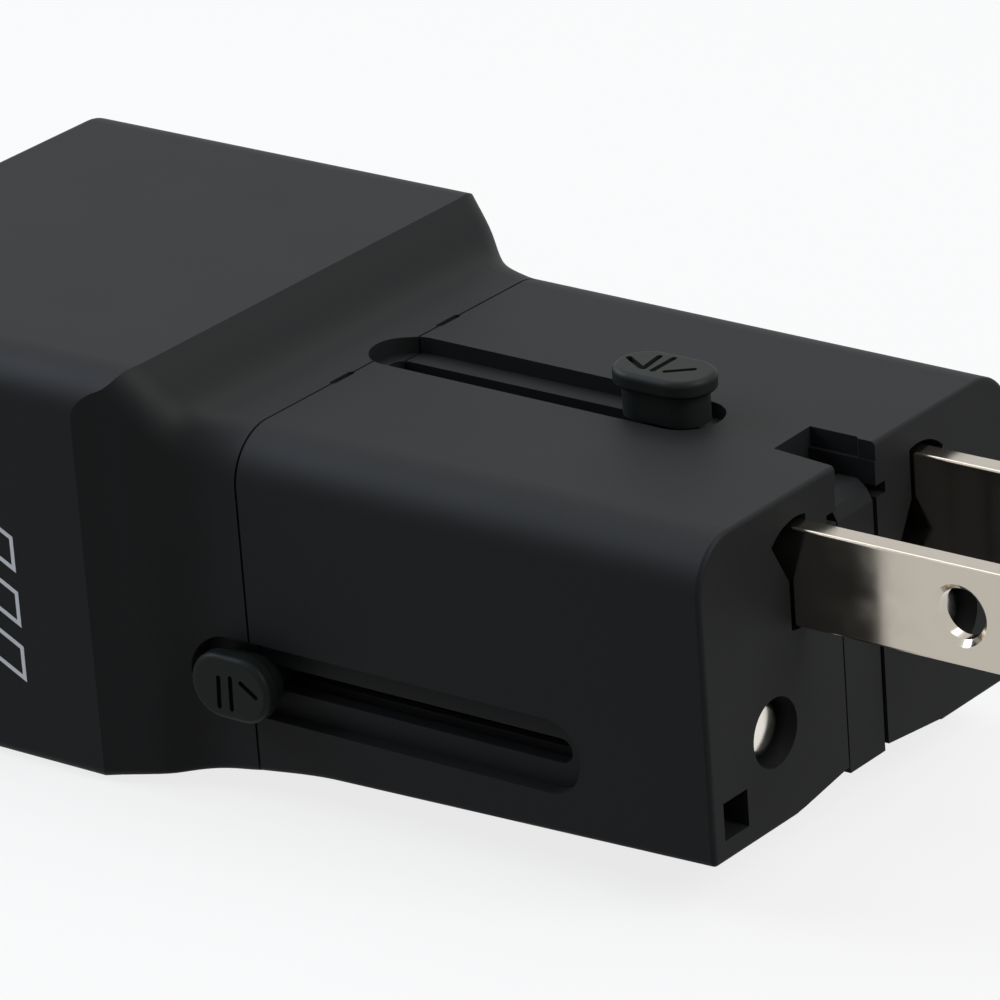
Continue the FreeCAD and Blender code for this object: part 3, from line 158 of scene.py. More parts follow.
def per_metre(size_mm: float) -> float:
    """Texture scale for a pattern whose features are size_mm apart."""
    return 1.0 / (size_mm * MM)


@dataclass(frozen=True)
class MouldedPlastic:
    """Injection-moulded PC/ABS with a fine spark-eroded grain.

    The grain scatters the light, so that edges glow softly and flats stay even.
    """

    name: str
    tint: str
    worn_tint: str
    roughness: float = 0.5
    specular: float = 0.35
    grain_mm: float = 0.16
    grain_depth_mm: float = 0.012

    def build(self) -> bpy.types.Material:
        """Builds the node material."""
        material, tree = new_material(self.name)
        place = add_node(tree, "ShaderNodeTexCoord").outputs["Object"]
        grain = add_node(tree, "ShaderNodeTexNoise", {
            "Vector": place, "Scale": per_metre(self.grain_mm), "Detail": 3.0, "Roughness": 0.6,
        })
        cloud = add_node(tree, "ShaderNodeTexNoise", {
            "Vector": place, "Scale": per_metre(7.0), "Detail": 2.0, "Roughness": 0.5,
        })
        bump = add_node(tree, "ShaderNodeBump", {
            "Height": grain.outputs["Fac"], "Strength": 0.35,
            "Distance": self.grain_depth_mm * MM,
        })
        colour = add_node(tree, "ShaderNodeMix", {
            "Factor": cloud.outputs["Fac"], "A": linear(self.tint), "B": linear(self.worn_tint),
        }, data_type="RGBA")
        sheen = add_node(tree, "ShaderNodeMapRange", {
            "Value": cloud.outputs["Fac"], "From Min": 0.3, "From Max": 0.7,
            "To Min": self.roughness - 0.015, "To Max": self.roughness + 0.015,
        })
        close_material(tree, {
            "Base Color": colour.outputs["Result"], "Roughness": sheen.outputs["Result"],
            "Normal": bump.outputs["Normal"], "Specular IOR Level": self.specular, "IOR": 1.5,
        })
        return material


@dataclass(frozen=True)
class PlatedMetal:
    """Nickel-plated brass or bright steel, ground along its length.

    The fine scratches run along X and smear the reflections that way.
    """

    name: str
    tint: str
    roughness: float = 0.2
    scratch_mm: float = 0.05
    scratch_depth_mm: float = 0.0015

    def build(self) -> bpy.types.Material:
        """Builds the node material."""
        material, tree = new_material(self.name)
        place = add_node(tree, "ShaderNodeTexCoord").outputs["Object"]
        along = add_node(tree, "ShaderNodeMapping", {"Vector": place, "Scale": (0.02, 1.0, 1.0)})
        scratch = add_node(tree, "ShaderNodeTexNoise", {
            "Vector": along.outputs["Vector"], "Scale": per_metre(self.scratch_mm * 4),
            "Detail": 4.0, "Roughness": 0.65,
        })
        haze = add_node(tree, "ShaderNodeTexNoise", {
            "Vector": place, "Scale": per_metre(2.5), "Detail": 3.0,
        })
        bump = add_node(tree, "ShaderNodeBump", {
            "Height": scratch.outputs["Fac"], "Strength": 0.4,
            "Distance": self.scratch_depth_mm * MM,
        })
        rough = add_node(tree, "ShaderNodeMapRange", {
            "Value": haze.outputs["Fac"], "From Min": 0.3, "From Max": 0.7,
            "To Min": self.roughness - 0.04, "To Max": self.roughness + 0.06,
        })
        close_material(tree, {
            "Base Color": linear(self.tint), "Metallic": 1.0,
            "Roughness": rough.outputs["Result"], "Normal": bump.outputs["Normal"],
        })
        return material


@dataclass(frozen=True)
class CircuitBoard:
    """Glass-epoxy board under green solder mask, with tracks that show as paler runs."""

    name: str = "solder mask on glass epoxy"
    mask: str = "#0f3d22"
    track: str = "#1c6b3a"
    pitch_mm: float = 2.54

    def build(self) -> bpy.types.Material:
        """Builds the node material."""
        material, tree = new_material(self.name)
        place = add_node(tree, "ShaderNodeTexCoord").outputs["Object"]
        runs = add_node(tree, "ShaderNodeTexVoronoi", {
            "Vector": place, "Scale": per_metre(self.pitch_mm), "Randomness": 0.6,
        }, feature="DISTANCE_TO_EDGE", voronoi_dimensions="3D")
        line = add_node(tree, "ShaderNodeMath", {0: runs.outputs["Distance"], 1: 0.09},
                        operation="LESS_THAN")
        bump = add_node(tree, "ShaderNodeBump", {
            "Height": line.outputs["Value"], "Strength": 0.5, "Distance": 0.03 * MM,
        })
        colour = add_node(tree, "ShaderNodeMix", {
            "Factor": line.outputs["Value"], "A": linear(self.mask), "B": linear(self.track),
        }, data_type="RGBA")
        close_material(tree, {
            "Base Color": colour.outputs["Result"], "Roughness": 0.32,
            "Normal": bump.outputs["Normal"],
        })
        return material


@dataclass(frozen=True)
class Speckled:
    """A sintered, cast or wrapped surface whose colour wanders by a few shades.

    It serves ferrite, epoxy, tape, sleeve film and cable insulation.
    """

    name: str
    tint: str
    second_tint: str
    grain_mm: float
    roughness: float
    depth_mm: float = 0.02

    def build(self) -> bpy.types.Material:
        """Builds the node material."""
        material, tree = new_material(self.name)
        place = add_node(tree, "ShaderNodeTexCoord").outputs["Object"]
        grain = add_node(tree, "ShaderNodeTexNoise", {
            "Vector": place, "Scale": per_metre(self.grain_mm), "Detail": 4.0, "Roughness": 0.6,
        })
        bump = add_node(tree, "ShaderNodeBump", {
            "Height": grain.outputs["Fac"], "Strength": 0.4, "Distance": self.depth_mm * MM,
        })
        colour = add_node(tree, "ShaderNodeMix", {
            "Factor": grain.outputs["Fac"], "A": linear(self.tint), "B": linear(self.second_tint),
        }, data_type="RGBA")
        close_material(tree, {
            "Base Color": colour.outputs["Result"], "Roughness": self.roughness,
            "Normal": bump.outputs["Normal"],
        })
        return material


@dataclass(frozen=True)
class TapeWound:
    """Polyester tape wound round a bobbin: flat turns with a fine step at each edge."""

    name: str = "yellow polyester tape"
    tint: str = "#c79a1e"
    edge: str = "#8d6a12"
    turn_mm: float = 1.8

    def build(self) -> bpy.types.Material:
        """Builds the node material."""
        material, tree = new_material(self.name)
        place = add_node(tree, "ShaderNodeTexCoord").outputs["Object"]
        turns = add_node(tree, "ShaderNodeTexWave", {
            "Vector": place, "Scale": per_metre(self.turn_mm) / 3.0, "Distortion": 0.6,
            "Detail": 1.0,
        }, bands_direction="Z", wave_profile="SAW")
        colour = add_node(tree, "ShaderNodeMix", {
            "Factor": turns.outputs["Fac"], "A": linear(self.tint), "B": linear(self.edge),
        }, data_type="RGBA")
        bump = add_node(tree, "ShaderNodeBump", {
            "Height": turns.outputs["Fac"], "Strength": 0.6, "Distance": 0.06 * MM,
        })
        close_material(tree, {
            "Base Color": colour.outputs["Result"], "Roughness": 0.38,
            "Normal": bump.outputs["Normal"],
        })
        return material


Finish = MouldedPlastic | PlatedMetal | CircuitBoard | Speckled | TapeWound

# Casing resin reads as a charcoal under white light, its knobs a shade greener
CASING = MouldedPlastic("moulded charcoal casing plastic", "#101112", "#131415", 0.56, 0.1)
PANEL = MouldedPlastic("moulded charcoal panel plastic", "#0f1011", "#121314", 0.56, 0.1)
KNOB = MouldedPlastic("moulded knob plastic", "#0f1211", "#131615", 0.5, 0.1, 0.14, 0.01)
CARRIER = MouldedPlastic("black glass-filled carrier plastic", "#101111", "#151616", 0.5, 0.4, 0.2)
PORT_NYLON = MouldedPlastic("black nylon port tongue", "#0e0e0f", "#141415", 0.42, 0.5, 0.12)
# Nickel over brass reflects a little warm
BLADE = PlatedMetal("nickel-plated blade", "#bdb6aa", 0.15)
# The round pins share the blades' nickel plating, but in a much lighter tint: a painted highlight
# where the domed tips catch the light
PIN_NICKEL_PAINTED_HIGHLIGHT = PlatedMetal("nickel-plated round pin with painted highlight", "#e9e5dd", 0.14)
SHELL_STEEL = PlatedMetal("drawn stainless port shell", "#b9bbbd", 0.24)
SPRING_STEEL = PlatedMetal("spring steel wire", "#a7a9ab", 0.28)
CONTACT_GOLD = PlatedMetal("gold-flashed contact", "#d9b25c", 0.22)
STRIP_BRASS = PlatedMetal("rolled brass strip", "#c7a24c", 0.28)
COPPER = PlatedMetal("enamelled copper wire", "#b4622f", 0.25)
HEAT_SHEET = PlatedMetal("satin aluminium sheet", "#c3c5c7", 0.42)
SOLDER = PlatedMetal("solder joint", "#b8bcbf", 0.3)
BOARD = CircuitBoard()
FERRITE = Speckled("sintered ferrite", "#2b2c2e", "#36373a", 0.5, 0.6)
EPOXY = Speckled("black moulded epoxy", "#161617", "#1d1d1e", 0.3, 0.5)
SLEEVE = Speckled("shrunk film sleeve", "#1b2433", "#222d40", 2.0, 0.35)
RESIN_YELLOW = Speckled("cast yellow resin case", "#c09418", "#cda32b", 0.8, 0.4)
LEAD_RED = Speckled("soft lead insulation", "#7b1d17", "#8a2a20", 0.6, 0.45)
TAPE = TapeWound()
PRINT_INK = Speckled("white pad-print ink", "#d9dbdc", "#e3e4e5", 0.3, 0.55, 0.004)

CAD_FINISHES = {
    CASING: ("head_shell", "plug_casing", "folding_pin"),
    PANEL: ("rear_panel",),
    KNOB: ("us_button", "eu_button"),
    CARRIER: (
        "plug_chassis", "us_carriage", "eu_carriage", "blade_drum_left", "blade_drum_right",
        "eu_pin_sleeves", "mains_barrier",
    ),
    PORT_NYLON: ("usb_a_tongue", "usb_c_tongues"),
    BLADE: ("blade_left", "blade_right"),
    PIN_NICKEL_PAINTED_HIGHLIGHT: ("eu_pin_left", "eu_pin_right"),
    SHELL_STEEL: ("usb_a_shell", "usb_c_shells"),
    SPRING_STEEL: (
        "us_button_spring", "eu_button_spring", "detent_springs", "folding_pin_axle",
        "board_screws",
    ),
    STRIP_BRASS: ("mains_strips", "us_slide_contacts", "eu_slide_contacts"),
    HEAT_SHEET: ("heat_spreader",),
    BOARD: ("main_board", "port_board"),
    FERRITE: ("transformer_core", "common_mode_choke"),
    TAPE: ("transformer_winding",),
    RESIN_YELLOW: ("x_capacitor",),
    SLEEVE: ("bulk_capacitors", "output_capacitors"),
    EPOXY: ("power_chips", "fuse_link"),
    LEAD_RED: ("mains_leads",),
}


class Wardrobe:
    """Builds each finish once and hands it out."""

    def __init__(self) -> None:
        """Starts with nothing built."""
        self.built: dict[Finish, bpy.types.Material] = {}

    def get(self, finish: Finish) -> bpy.types.Material:
        """Returns the material of a finish, built on first use."""
        if finish not in self.built:
            self.built[finish] = finish.build()
        return self.built[finish]

    def dress(self, piece: bpy.types.Object, finish: Finish) -> None:
        """Gives a piece one finish all over.

        Args:
            piece: The object to dress.
            finish: Its finish.
        """
        material = self.get(finish)
        if not piece.material_slots:
            piece.data.materials.append(material)
        for slot in piece.material_slots:
            slot.material = material


def add_mesh(name: str, mesh: bpy.types.Mesh) -> bpy.types.Object:
    """Puts a mesh into the scene as an object at the origin."""
    piece = bpy.data.objects.new(name, mesh)
    bpy.context.scene.collection.objects.link(piece)
    return piece


def frozen(piece: bpy.types.Object) -> bpy.types.Object:
    """Turns a piece's modifiers into plain mesh.

    Args:
        piece: An object with live modifiers.

    Returns:
        The same object, with the result as its mesh and no modifier left.
    """
    bpy.context.view_layer.update()
    graph = bpy.context.evaluated_depsgraph_get()
    mesh = bpy.data.meshes.new_from_object(piece.evaluated_get(graph))
    piece.modifiers.clear()
    piece.data = mesh
    return piece


@dataclass(frozen=True)
class PhotoCamera:
    """The photograph's camera: a long lens, above and in front of the plug end."""

    azimuth: float = 39.009
    elevation: float = 22.805
    roll: float = 4.202
    focal_px: float = 7252.0
    picture_px: float = 1000.0
    distance_mm: float = 434.86
    anchor_mm: tuple[float, float, float] = (59.0, 0.0, 3.45)
    anchor_px: tuple[float, float] = (872.466, 763.566)
    sensor_mm: float = 36.0

    def build(self) -> bpy.types.Object:
        """Creates the camera and makes it the scene's own."""
        a, e, r = (math.radians(v) for v in (self.azimuth, self.elevation, self.roll))
        back = Vector((math.sin(a) * math.cos(e), -math.cos(a) * math.cos(e), math.sin(e)))
        level = Vector((math.cos(a), math.sin(a), 0.0))
        upright = back.cross(level)
        right = math.cos(r) * level - math.sin(r) * upright
        up = math.sin(r) * level + math.cos(r) * upright
        half = self.picture_px / 2
        aside = (self.anchor_px[0] - half) / self.focal_px * self.distance_mm
        below = (self.anchor_px[1] - half) / self.focal_px * self.distance_mm
        place = Vector(self.anchor_mm) - aside * right + below * up + self.distance_mm * back
        data = bpy.data.cameras.new("photo_camera")
        data.sensor_width = self.sensor_mm
        data.lens = self.focal_px / self.picture_px * self.sensor_mm
        data.clip_start = 0.01
        data.clip_end = 20.0
        data.dof.use_dof = False
        camera = bpy.data.objects.new("photo_camera", data)
        turn = Matrix((right, up, back)).transposed().to_4x4()
        camera.matrix_world = Matrix.Translation(place * MM) @ turn
        bpy.context.scene.collection.objects.link(camera)
        bpy.context.scene.camera = camera
        return camera


@dataclass(frozen=True)
class Softbox:
    """One soft studio lamp that looks at the charger."""

    name: str
    azimuth: float
    elevation: float
    distance: float
    width: float
    height: float
    power: float
    tint: str = "#ffffff"
    lamp: Lamp = Lamp.RECTANGLE

    def build(self, target: Vector) -> bpy.types.Object:
        """Places the lamp.

        Args:
            target: The point that it faces.

        Returns:
            The lamp's object.
        """
        a, e = math.radians(self.azimuth), math.radians(self.elevation)
        out = Vector((math.sin(a) * math.cos(e), -math.cos(a) * math.cos(e), math.sin(e)))
        data = bpy.data.lights.new(self.name, "AREA")
        data.shape = self.lamp.value
        data.size = self.width
        data.size_y = self.height
        data.energy = self.power
        data.color = linear(self.tint)[:3]
        lamp = bpy.data.objects.new(self.name, data)
        lamp.location = target + out * self.distance
        lamp.rotation_euler = out.to_track_quat("Z", "Y").to_euler()
        bpy.context.scene.collection.objects.link(lamp)
        return lamp


@dataclass(frozen=True)
class Studio:
    """Pale floor, pale surroundings and soft lamps round the charger."""

    floor_radius: float = 6.0
    floor_level: float = -0.2 * MM
    near_radius: float = 0.09
    far_radius: float = 0.3
    backdrop: str = "#f7f7f7"
    bounce_tint: str = "#6e7072"
    ambient: float = 0.35
    paper_glow: float = 0.86
    paper: str = "#cfcfcf"
    lamps: tuple[Softbox, ...] = (
        Softbox("top_back_softbox", 200.0, 62.0, 0.9, 0.9, 0.7, 4.2),
        Softbox("left_rear_strip", -76.0, 34.0, 0.9, 0.7, 0.35, 9.5, "#e2edff"),
        Softbox("front_softbox", 100.0, 42.0, 1.0, 0.6, 0.6, 10.0, lamp=Lamp.ELLIPSE),
    )

    def build(self, target: Vector) -> None:
        """Builds the floor, the world and the lamps.

        Args:
            target: The point that the lamps face.
        """
        scene = bpy.context.scene
        scene.view_settings.view_transform = "Standard"
        self.build_world()
        self.build_floor()
        for lamp in self.lamps:
            lamp.build(target)

    def seen(self, tree: bpy.types.NodeTree) -> bpy.types.NodeSocket:
        """Adds a socket that is 1 for camera, glossy and transmission rays."""
        ray = add_node(tree, "ShaderNodeLightPath")
        first = add_node(tree, "ShaderNodeMath", {
            0: ray.outputs["Is Camera Ray"], 1: ray.outputs["Is Glossy Ray"],
        }, operation="MAXIMUM")
        both = add_node(tree, "ShaderNodeMath", {
            0: first.outputs["Value"], 1: ray.outputs["Is Transmission Ray"],
        }, operation="MAXIMUM")
        return both.outputs["Value"]

    def build_world(self) -> None:
        """Makes the surroundings: pale to the eye, dimmer as a light."""
        world = bpy.data.worlds.new("pale_surroundings")
        bpy.context.scene.world = world
        world.use_nodes = True
        tree = world.node_tree
        tree.nodes.clear()
        light = add_node(tree, "ShaderNodeBackground", {
            "Color": linear("#ffffff"), "Strength": self.ambient,
        })
        shown = add_node(tree, "ShaderNodeBackground", {
            "Color": linear(self.backdrop), "Strength": 1.0,
        })
        mix = add_node(tree, "ShaderNodeMixShader", {
            0: self.seen(tree), 1: light.outputs["Background"], 2: shown.outputs["Background"],
        })
        add_node(tree, "ShaderNodeOutputWorld", {"Surface": mix.outputs["Shader"]})

    def build_floor(self) -> bpy.types.Object:
        """Makes the floor: it keeps the shadow near the charger and fades to the backdrop."""
        mesh = bpy.data.meshes.new("floor")
        r = self.floor_radius
        mesh.from_pydata([(-r, -r, 0), (r, -r, 0), (r, r, 0), (-r, r, 0)], [], [(0, 1, 2, 3)])
        floor = add_mesh("floor", mesh)
        floor.location.z = self.floor_level
        material, tree = new_material("matte white paper sweep")
        seen = self.seen(tree)
        place = add_node(tree, "ShaderNodeTexCoord").outputs["Object"]
        away = add_node(tree, "ShaderNodeVectorMath", {0: place}, operation="LENGTH")
        fade = add_node(tree, "ShaderNodeMapRange", {
            "Value": away.outputs["Value"], "From Min": self.near_radius,
            "From Max": self.far_radius, "To Min": self.paper_glow, "To Max": 1.0,
        }, interpolation_type="SMOOTHSTEP")
        colour = add_node(tree, "ShaderNodeMix", {
            "Factor": seen, "A": linear(self.bounce_tint), "B": linear(self.paper),
        }, data_type="RGBA")
        paper = add_node(tree, "ShaderNodeBsdfDiffuse", {"Color": colour.outputs["Result"]})
        glow = add_node(tree, "ShaderNodeEmission", {
            "Color": linear(self.backdrop), "Strength": seen,
        })
        mix = add_node(tree, "ShaderNodeMixShader", {
            0: fade.outputs["Result"], 1: paper.outputs["BSDF"], 2: glow.outputs["Emission"],
        })
        add_node(tree, "ShaderNodeOutputMaterial", {"Surface": mix.outputs["Shader"]})
        floor.data.materials.append(material)
        return floor


@dataclass
class RowOfPieces:
    """A straight row of one small piece, repeated by a geometry node tree.

    A block's size is its length along X, Y and Z. A drop's is its foot radius, its tip
    radius and its height, and it hangs down from its point.
    """

    name: str
    count: int
    start: Vector
    step: Vector
    size: Vector
    bevel: float = 0.0
    shape: Repeated = Repeated.BLOCK
    drop_sides: int = 16

    def tree(self, material: bpy.types.Material) -> bpy.types.NodeTree:
        """Builds the node tree with named inputs.

        Args:
            material: The finish of every piece.

        Returns:
            The geometry node tree.
        """
        tree = bpy.data.node_groups.new(f"{self.name} row", "GeometryNodeTree")
        face = tree.interface
        face.new_socket("Geometry", in_out="INPUT", socket_type="NodeSocketGeometry")
        for label, kind in (
            ("Count", "NodeSocketInt"), ("Start", "NodeSocketVector"),
            ("Step", "NodeSocketVector"), ("Size", "NodeSocketVector"),
        ):
            face.new_socket(label, in_out="INPUT", socket_type=kind)
        face.new_socket("Geometry", in_out="OUTPUT", socket_type="NodeSocketGeometry")
        given = tree.nodes.new("NodeGroupInput")
        line = add_node(tree, "GeometryNodeMeshLine", {
            "Count": given.outputs["Count"], "Start Location": given.outputs["Start"],
            "Offset": given.outputs["Step"],
        }, mode="OFFSET")
        copies = add_node(tree, "GeometryNodeInstanceOnPoints", {
            "Points": line.outputs["Mesh"], "Instance": self.piece(tree, given.outputs["Size"]),
            "Rotation": (math.pi if self.shape is Repeated.DROP else 0.0, 0.0, 0.0),
        })
        real = add_node(tree, "GeometryNodeRealizeInstances", {
            "Geometry": copies.outputs["Instances"],
        })
        dressed = add_node(tree, "GeometryNodeSetMaterial", {
            "Geometry": real.outputs["Geometry"], "Material": material,
        })
        add_node(tree, "NodeGroupOutput", {"Geometry": dressed.outputs["Geometry"]})
        return tree

    def piece(self, tree: bpy.types.NodeTree, size: bpy.types.NodeSocket) -> bpy.types.NodeSocket:
        """Adds the shape that the row repeats.

        Args:
            tree: The row's node tree.
            size: Its size input.

        Returns:
            The socket that carries the shape's mesh.
        """
        if self.shape is Repeated.BLOCK:
            return add_node(tree, "GeometryNodeMeshCube", {"Size": size}).outputs["Mesh"]
        parts = add_node(tree, "ShaderNodeSeparateXYZ", {"Vector": size})
        drop = add_node(tree, "GeometryNodeMeshCone", {
            "Vertices": self.drop_sides, "Radius Bottom": parts.outputs["X"],
            "Radius Top": parts.outputs["Y"], "Depth": parts.outputs["Z"],
        })
        return drop.outputs["Mesh"]

    def build(self, material: bpy.types.Material) -> bpy.types.Object:
        """Builds the row as a plain mesh.

        Args:
            material: The finish of every piece.

        Returns:
            The row's object.
        """
        piece = add_mesh(self.name, bpy.data.meshes.new(self.name))
        modifier = piece.modifiers.new("row", "NODES")
        modifier.node_group = self.tree(material)
        set_inputs(modifier, {
            "Count": self.count, "Start": self.start, "Step": self.step, "Size": self.size,
        })
        frozen(piece)
        if self.bevel:
            soft = piece.modifiers.new("soft_edges", "BEVEL")
            soft.width = self.bevel
            soft.segments = 2
            frozen(piece)
        return piece


@dataclass
class ChargingPorts:
    """Gold contacts on the tongues of the charging ports in the rear panel.

    An inset is how far a row's middle lies from the tongue's free end. A contact's size is
    its length along the tongue and its width.
    """

    skin: float = 0.04 * MM
    wide_contacts: int = 4
    wide_pitch: float = 2.5 * MM
    wide_inset: float = 3.6 * MM
    wide_size: tuple[float, float] = (5.0 * MM, 1.0 * MM)
    wide_bevel: float = 0.03 * MM
    oval_contacts: int = 12
    oval_pitch: float = 0.5 * MM
    oval_inset: float = 2.6 * MM
    oval_size: tuple[float, float] = (3.4 * MM, 0.25 * MM)
    oval_tongue_thick: float = 0.7 * MM

    def build(self, wardrobe: Wardrobe) -> None:
        """Adds the contact rows to each tongue.

        Args:
            wardrobe: The finishes.
        """
        gold = wardrobe.get(CONTACT_GOLD)
        low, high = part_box("usb_a_tongue")
        first = (low.y + high.y) / 2 - (self.wide_contacts - 1) / 2 * self.wide_pitch
        row = RowOfPieces(
            "wide_port_contacts", self.wide_contacts,
            Vector((low.x + self.wide_inset, first, low.z - self.skin / 2)),
            Vector((0, self.wide_pitch, 0)), Vector((*self.wide_size, 3 * self.skin)),
            self.wide_bevel,
        )
        self.fit(row.build(gold))
        low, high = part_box("usb_c_tongues")
        first = (low.y + high.y) / 2 - (self.oval_contacts - 1) / 2 * self.oval_pitch
        half = self.oval_tongue_thick / 2
        for index, z in enumerate((low.z + half, high.z - half)):
            for name, face in (("under", -half), ("over", half)):
                row = RowOfPieces(
                    f"oval_port_contacts_{index}_{name}", self.oval_contacts,
                    Vector((low.x + self.oval_inset, first, z + face)),
                    Vector((0, self.oval_pitch, 0)), Vector((*self.oval_size, 2 * self.skin)),
                )
                self.fit(row.build(gold))

    def fit(self, piece: bpy.types.Object) -> None:
        """Makes a contact row ride with the casing."""
        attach(piece, "casing")
        LOG.info("contacts %s", piece.name)


@dataclass
class ChokeWinding:
    """Enamelled wire wound round the ring core, in two parts that stay clear of the fuse.

    Each part has its name and the angle in degrees at which it starts, from the front and
    upwards. The sweep is in degrees too.
    """

    node: str = "common_mode_choke"
    turns: float = 9.0
    wire_radius: float = 0.1 * MM
    clearance: float = 0.02 * MM
    points_per_turn: int = 16
    wire_sides: int = 8
    sweep: float = 88.0
    parts: tuple[tuple[str, float], ...] = (("upper", 38.0), ("rear", 148.0))

    def tree(self, material: bpy.types.Material) -> bpy.types.NodeTree:
        """Builds the tree that bends a line into turns round a ring.

        Args:
            material: The wire's finish.

        Returns:
            The geometry node tree.
        """
        tree = bpy.data.node_groups.new("turns round a ring", "GeometryNodeTree")
        face = tree.interface
        face.new_socket("Geometry", in_out="INPUT", socket_type="NodeSocketGeometry")
        for label in ("Ring Radius", "Turn Radius", "Wire Radius", "Turns", "Start", "Sweep"):
            face.new_socket(label, in_out="INPUT", socket_type="NodeSocketFloat")
        face.new_socket("Centre", in_out="INPUT", socket_type="NodeSocketVector")
        face.new_socket("Points", in_out="INPUT", socket_type="NodeSocketInt")
        face.new_socket("Geometry", in_out="OUTPUT", socket_type="NodeSocketGeometry")
        given = tree.nodes.new("NodeGroupInput").outputs

        def math_node(kind: str, *values) -> bpy.types.NodeSocket:
            """Adds one sum and returns its result."""
            node = add_node(tree, "ShaderNodeMath", dict(enumerate(values)), operation=kind)
            return node.outputs["Value"]

        line = add_node(tree, "GeometryNodeCurvePrimitiveLine")
        path = add_node(tree, "GeometryNodeResampleCurve", {
            "Curve": line.outputs["Curve"], "Count": given["Points"],
        })
        share = add_node(tree, "GeometryNodeSplineParameter").outputs["Factor"]
        along = math_node("MULTIPLY_ADD", share, given["Sweep"], given["Start"])
        wound = math_node("MULTIPLY", math_node("MULTIPLY", share, given["Turns"]), math.tau)
        reach = math_node(
            "MULTIPLY_ADD", math_node("COSINE", wound), given["Turn Radius"], given["Ring Radius"],
        )
        place = add_node(tree, "ShaderNodeCombineXYZ", {
            "X": math_node("MULTIPLY", reach, math_node("COSINE", along)),
            "Y": math_node("MULTIPLY", math_node("SINE", wound), given["Turn Radius"]),
            "Z": math_node("MULTIPLY", reach, math_node("SINE", along)),
        })
        centred = add_node(tree, "ShaderNodeVectorMath", {
            0: place.outputs["Vector"], 1: given["Centre"],
        }, operation="ADD")
        bent = add_node(tree, "GeometryNodeSetPosition", {
            "Geometry": path.outputs["Curve"], "Position": centred.outputs["Vector"],
        })
        section = add_node(tree, "GeometryNodeCurvePrimitiveCircle", {
            "Resolution": self.wire_sides, "Radius": given["Wire Radius"],
        })
        wire = add_node(tree, "GeometryNodeCurveToMesh", {
            "Curve": bent.outputs["Geometry"], "Profile Curve": section.outputs["Curve"],
            "Fill Caps": True,
        })
        real = add_node(tree, "GeometryNodeRealizeInstances", {"Geometry": wire.outputs["Mesh"]})
        dressed = add_node(tree, "GeometryNodeSetMaterial", {
            "Geometry": real.outputs["Geometry"], "Material": material,
        })
        add_node(tree, "NodeGroupOutput", {"Geometry": dressed.outputs["Geometry"]})
        return tree

    def build(self, wardrobe: Wardrobe) -> None:
        """Winds both parts.

        Args:
            wardrobe: The finishes.
        """
        low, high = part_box(self.node)
        core_radius = (high.y - low.y) / 2
        tree = self.tree(wardrobe.get(COPPER))
        for part, start in self.parts:
            piece = add_mesh(f"choke_winding_{part}", bpy.data.meshes.new("choke_winding"))
            modifier = piece.modifiers.new("turns", "NODES")
            modifier.node_group = tree
            set_inputs(modifier, {
                "Ring Radius": (high.x - low.x) / 2 - core_radius,
                "Turn Radius": core_radius + self.wire_radius + self.clearance,
                "Wire Radius": self.wire_radius, "Turns": self.turns,
                "Start": math.radians(start), "Sweep": math.radians(self.sweep),
                "Centre": (low + high) / 2, "Points": int(self.turns * self.points_per_turn) + 1,
            })
            frozen(piece)
            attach(piece, "casing")
            LOG.info("winding %s", piece.name)


@dataclass
class BoardJoints:
    """Solder joints under the main board and the legs of the chips on it.

    Each row is its name, its count, the X and Y of its first piece and its step in X and Y,
    in millimetres.
    """

    solder_rows: tuple[tuple[str, int, float, float, float, float], ...] = (
        ("transformer_left", 4, -1.6, -7.3, 2.2, 0.0),
        ("transformer_right", 4, -1.6, 7.3, 2.2, 0.0),
        ("tall_can", 2, 3.65, -12.5, 3.5, 0.0),
        ("slim_can", 2, -3.4, -10.8, 2.0, 0.0),
        ("output_can", 2, -3.0, 10.8, 2.0, 0.0),
        ("choke", 2, 3.9, 12.6, 2.6, 0.0),
        ("mains_capacitor", 2, 10.95, -5.0, 0.0, 10.0),
        ("mains_lead", 2, 11.6, -12.9, 0.0, 25.8),
    )
    drop: tuple[float, float, float] = (0.75 * MM, 0.25 * MM, 0.6 * MM)
    leg_rows: tuple[tuple[str, int, float, float, float, float], ...] = (
        ("rectifier_rear", 2, 9.3, -10.75, 0.0, 2.5),
        ("rectifier_front", 2, 12.3, -10.75, 0.0, 2.5),
        ("controller", 4, -1.1, 16.3, 1.27, 0.0),
    )
    leg: tuple[float, float, float] = (0.85 * MM, 0.6 * MM, 0.24 * MM)

    def build(self, wardrobe: Wardrobe) -> None:
        """Adds the solder under the board and the legs on it.

        Args:
            wardrobe: The finishes.
        """
        low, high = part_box("main_board")
        tin = wardrobe.get(SOLDER)
        rows = [(f"solder_{name}", row, low.z, self.drop, Repeated.DROP)
                for name, *row in self.solder_rows]
        rows += [(f"legs_{name}", row, high.z + self.leg[2] / 2, self.leg, Repeated.BLOCK)
                 for name, *row in self.leg_rows]
        for name, (count, x, y, step_x, step_y), height, size, shape in rows:
            row = RowOfPieces(
                name, count, Vector((x * MM, y * MM, height)),
                Vector((step_x * MM, step_y * MM, 0.0)), Vector(size), shape=shape,
            )
            piece = row.build(tin)
            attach(piece, "casing")
            LOG.info("joints %s", name)


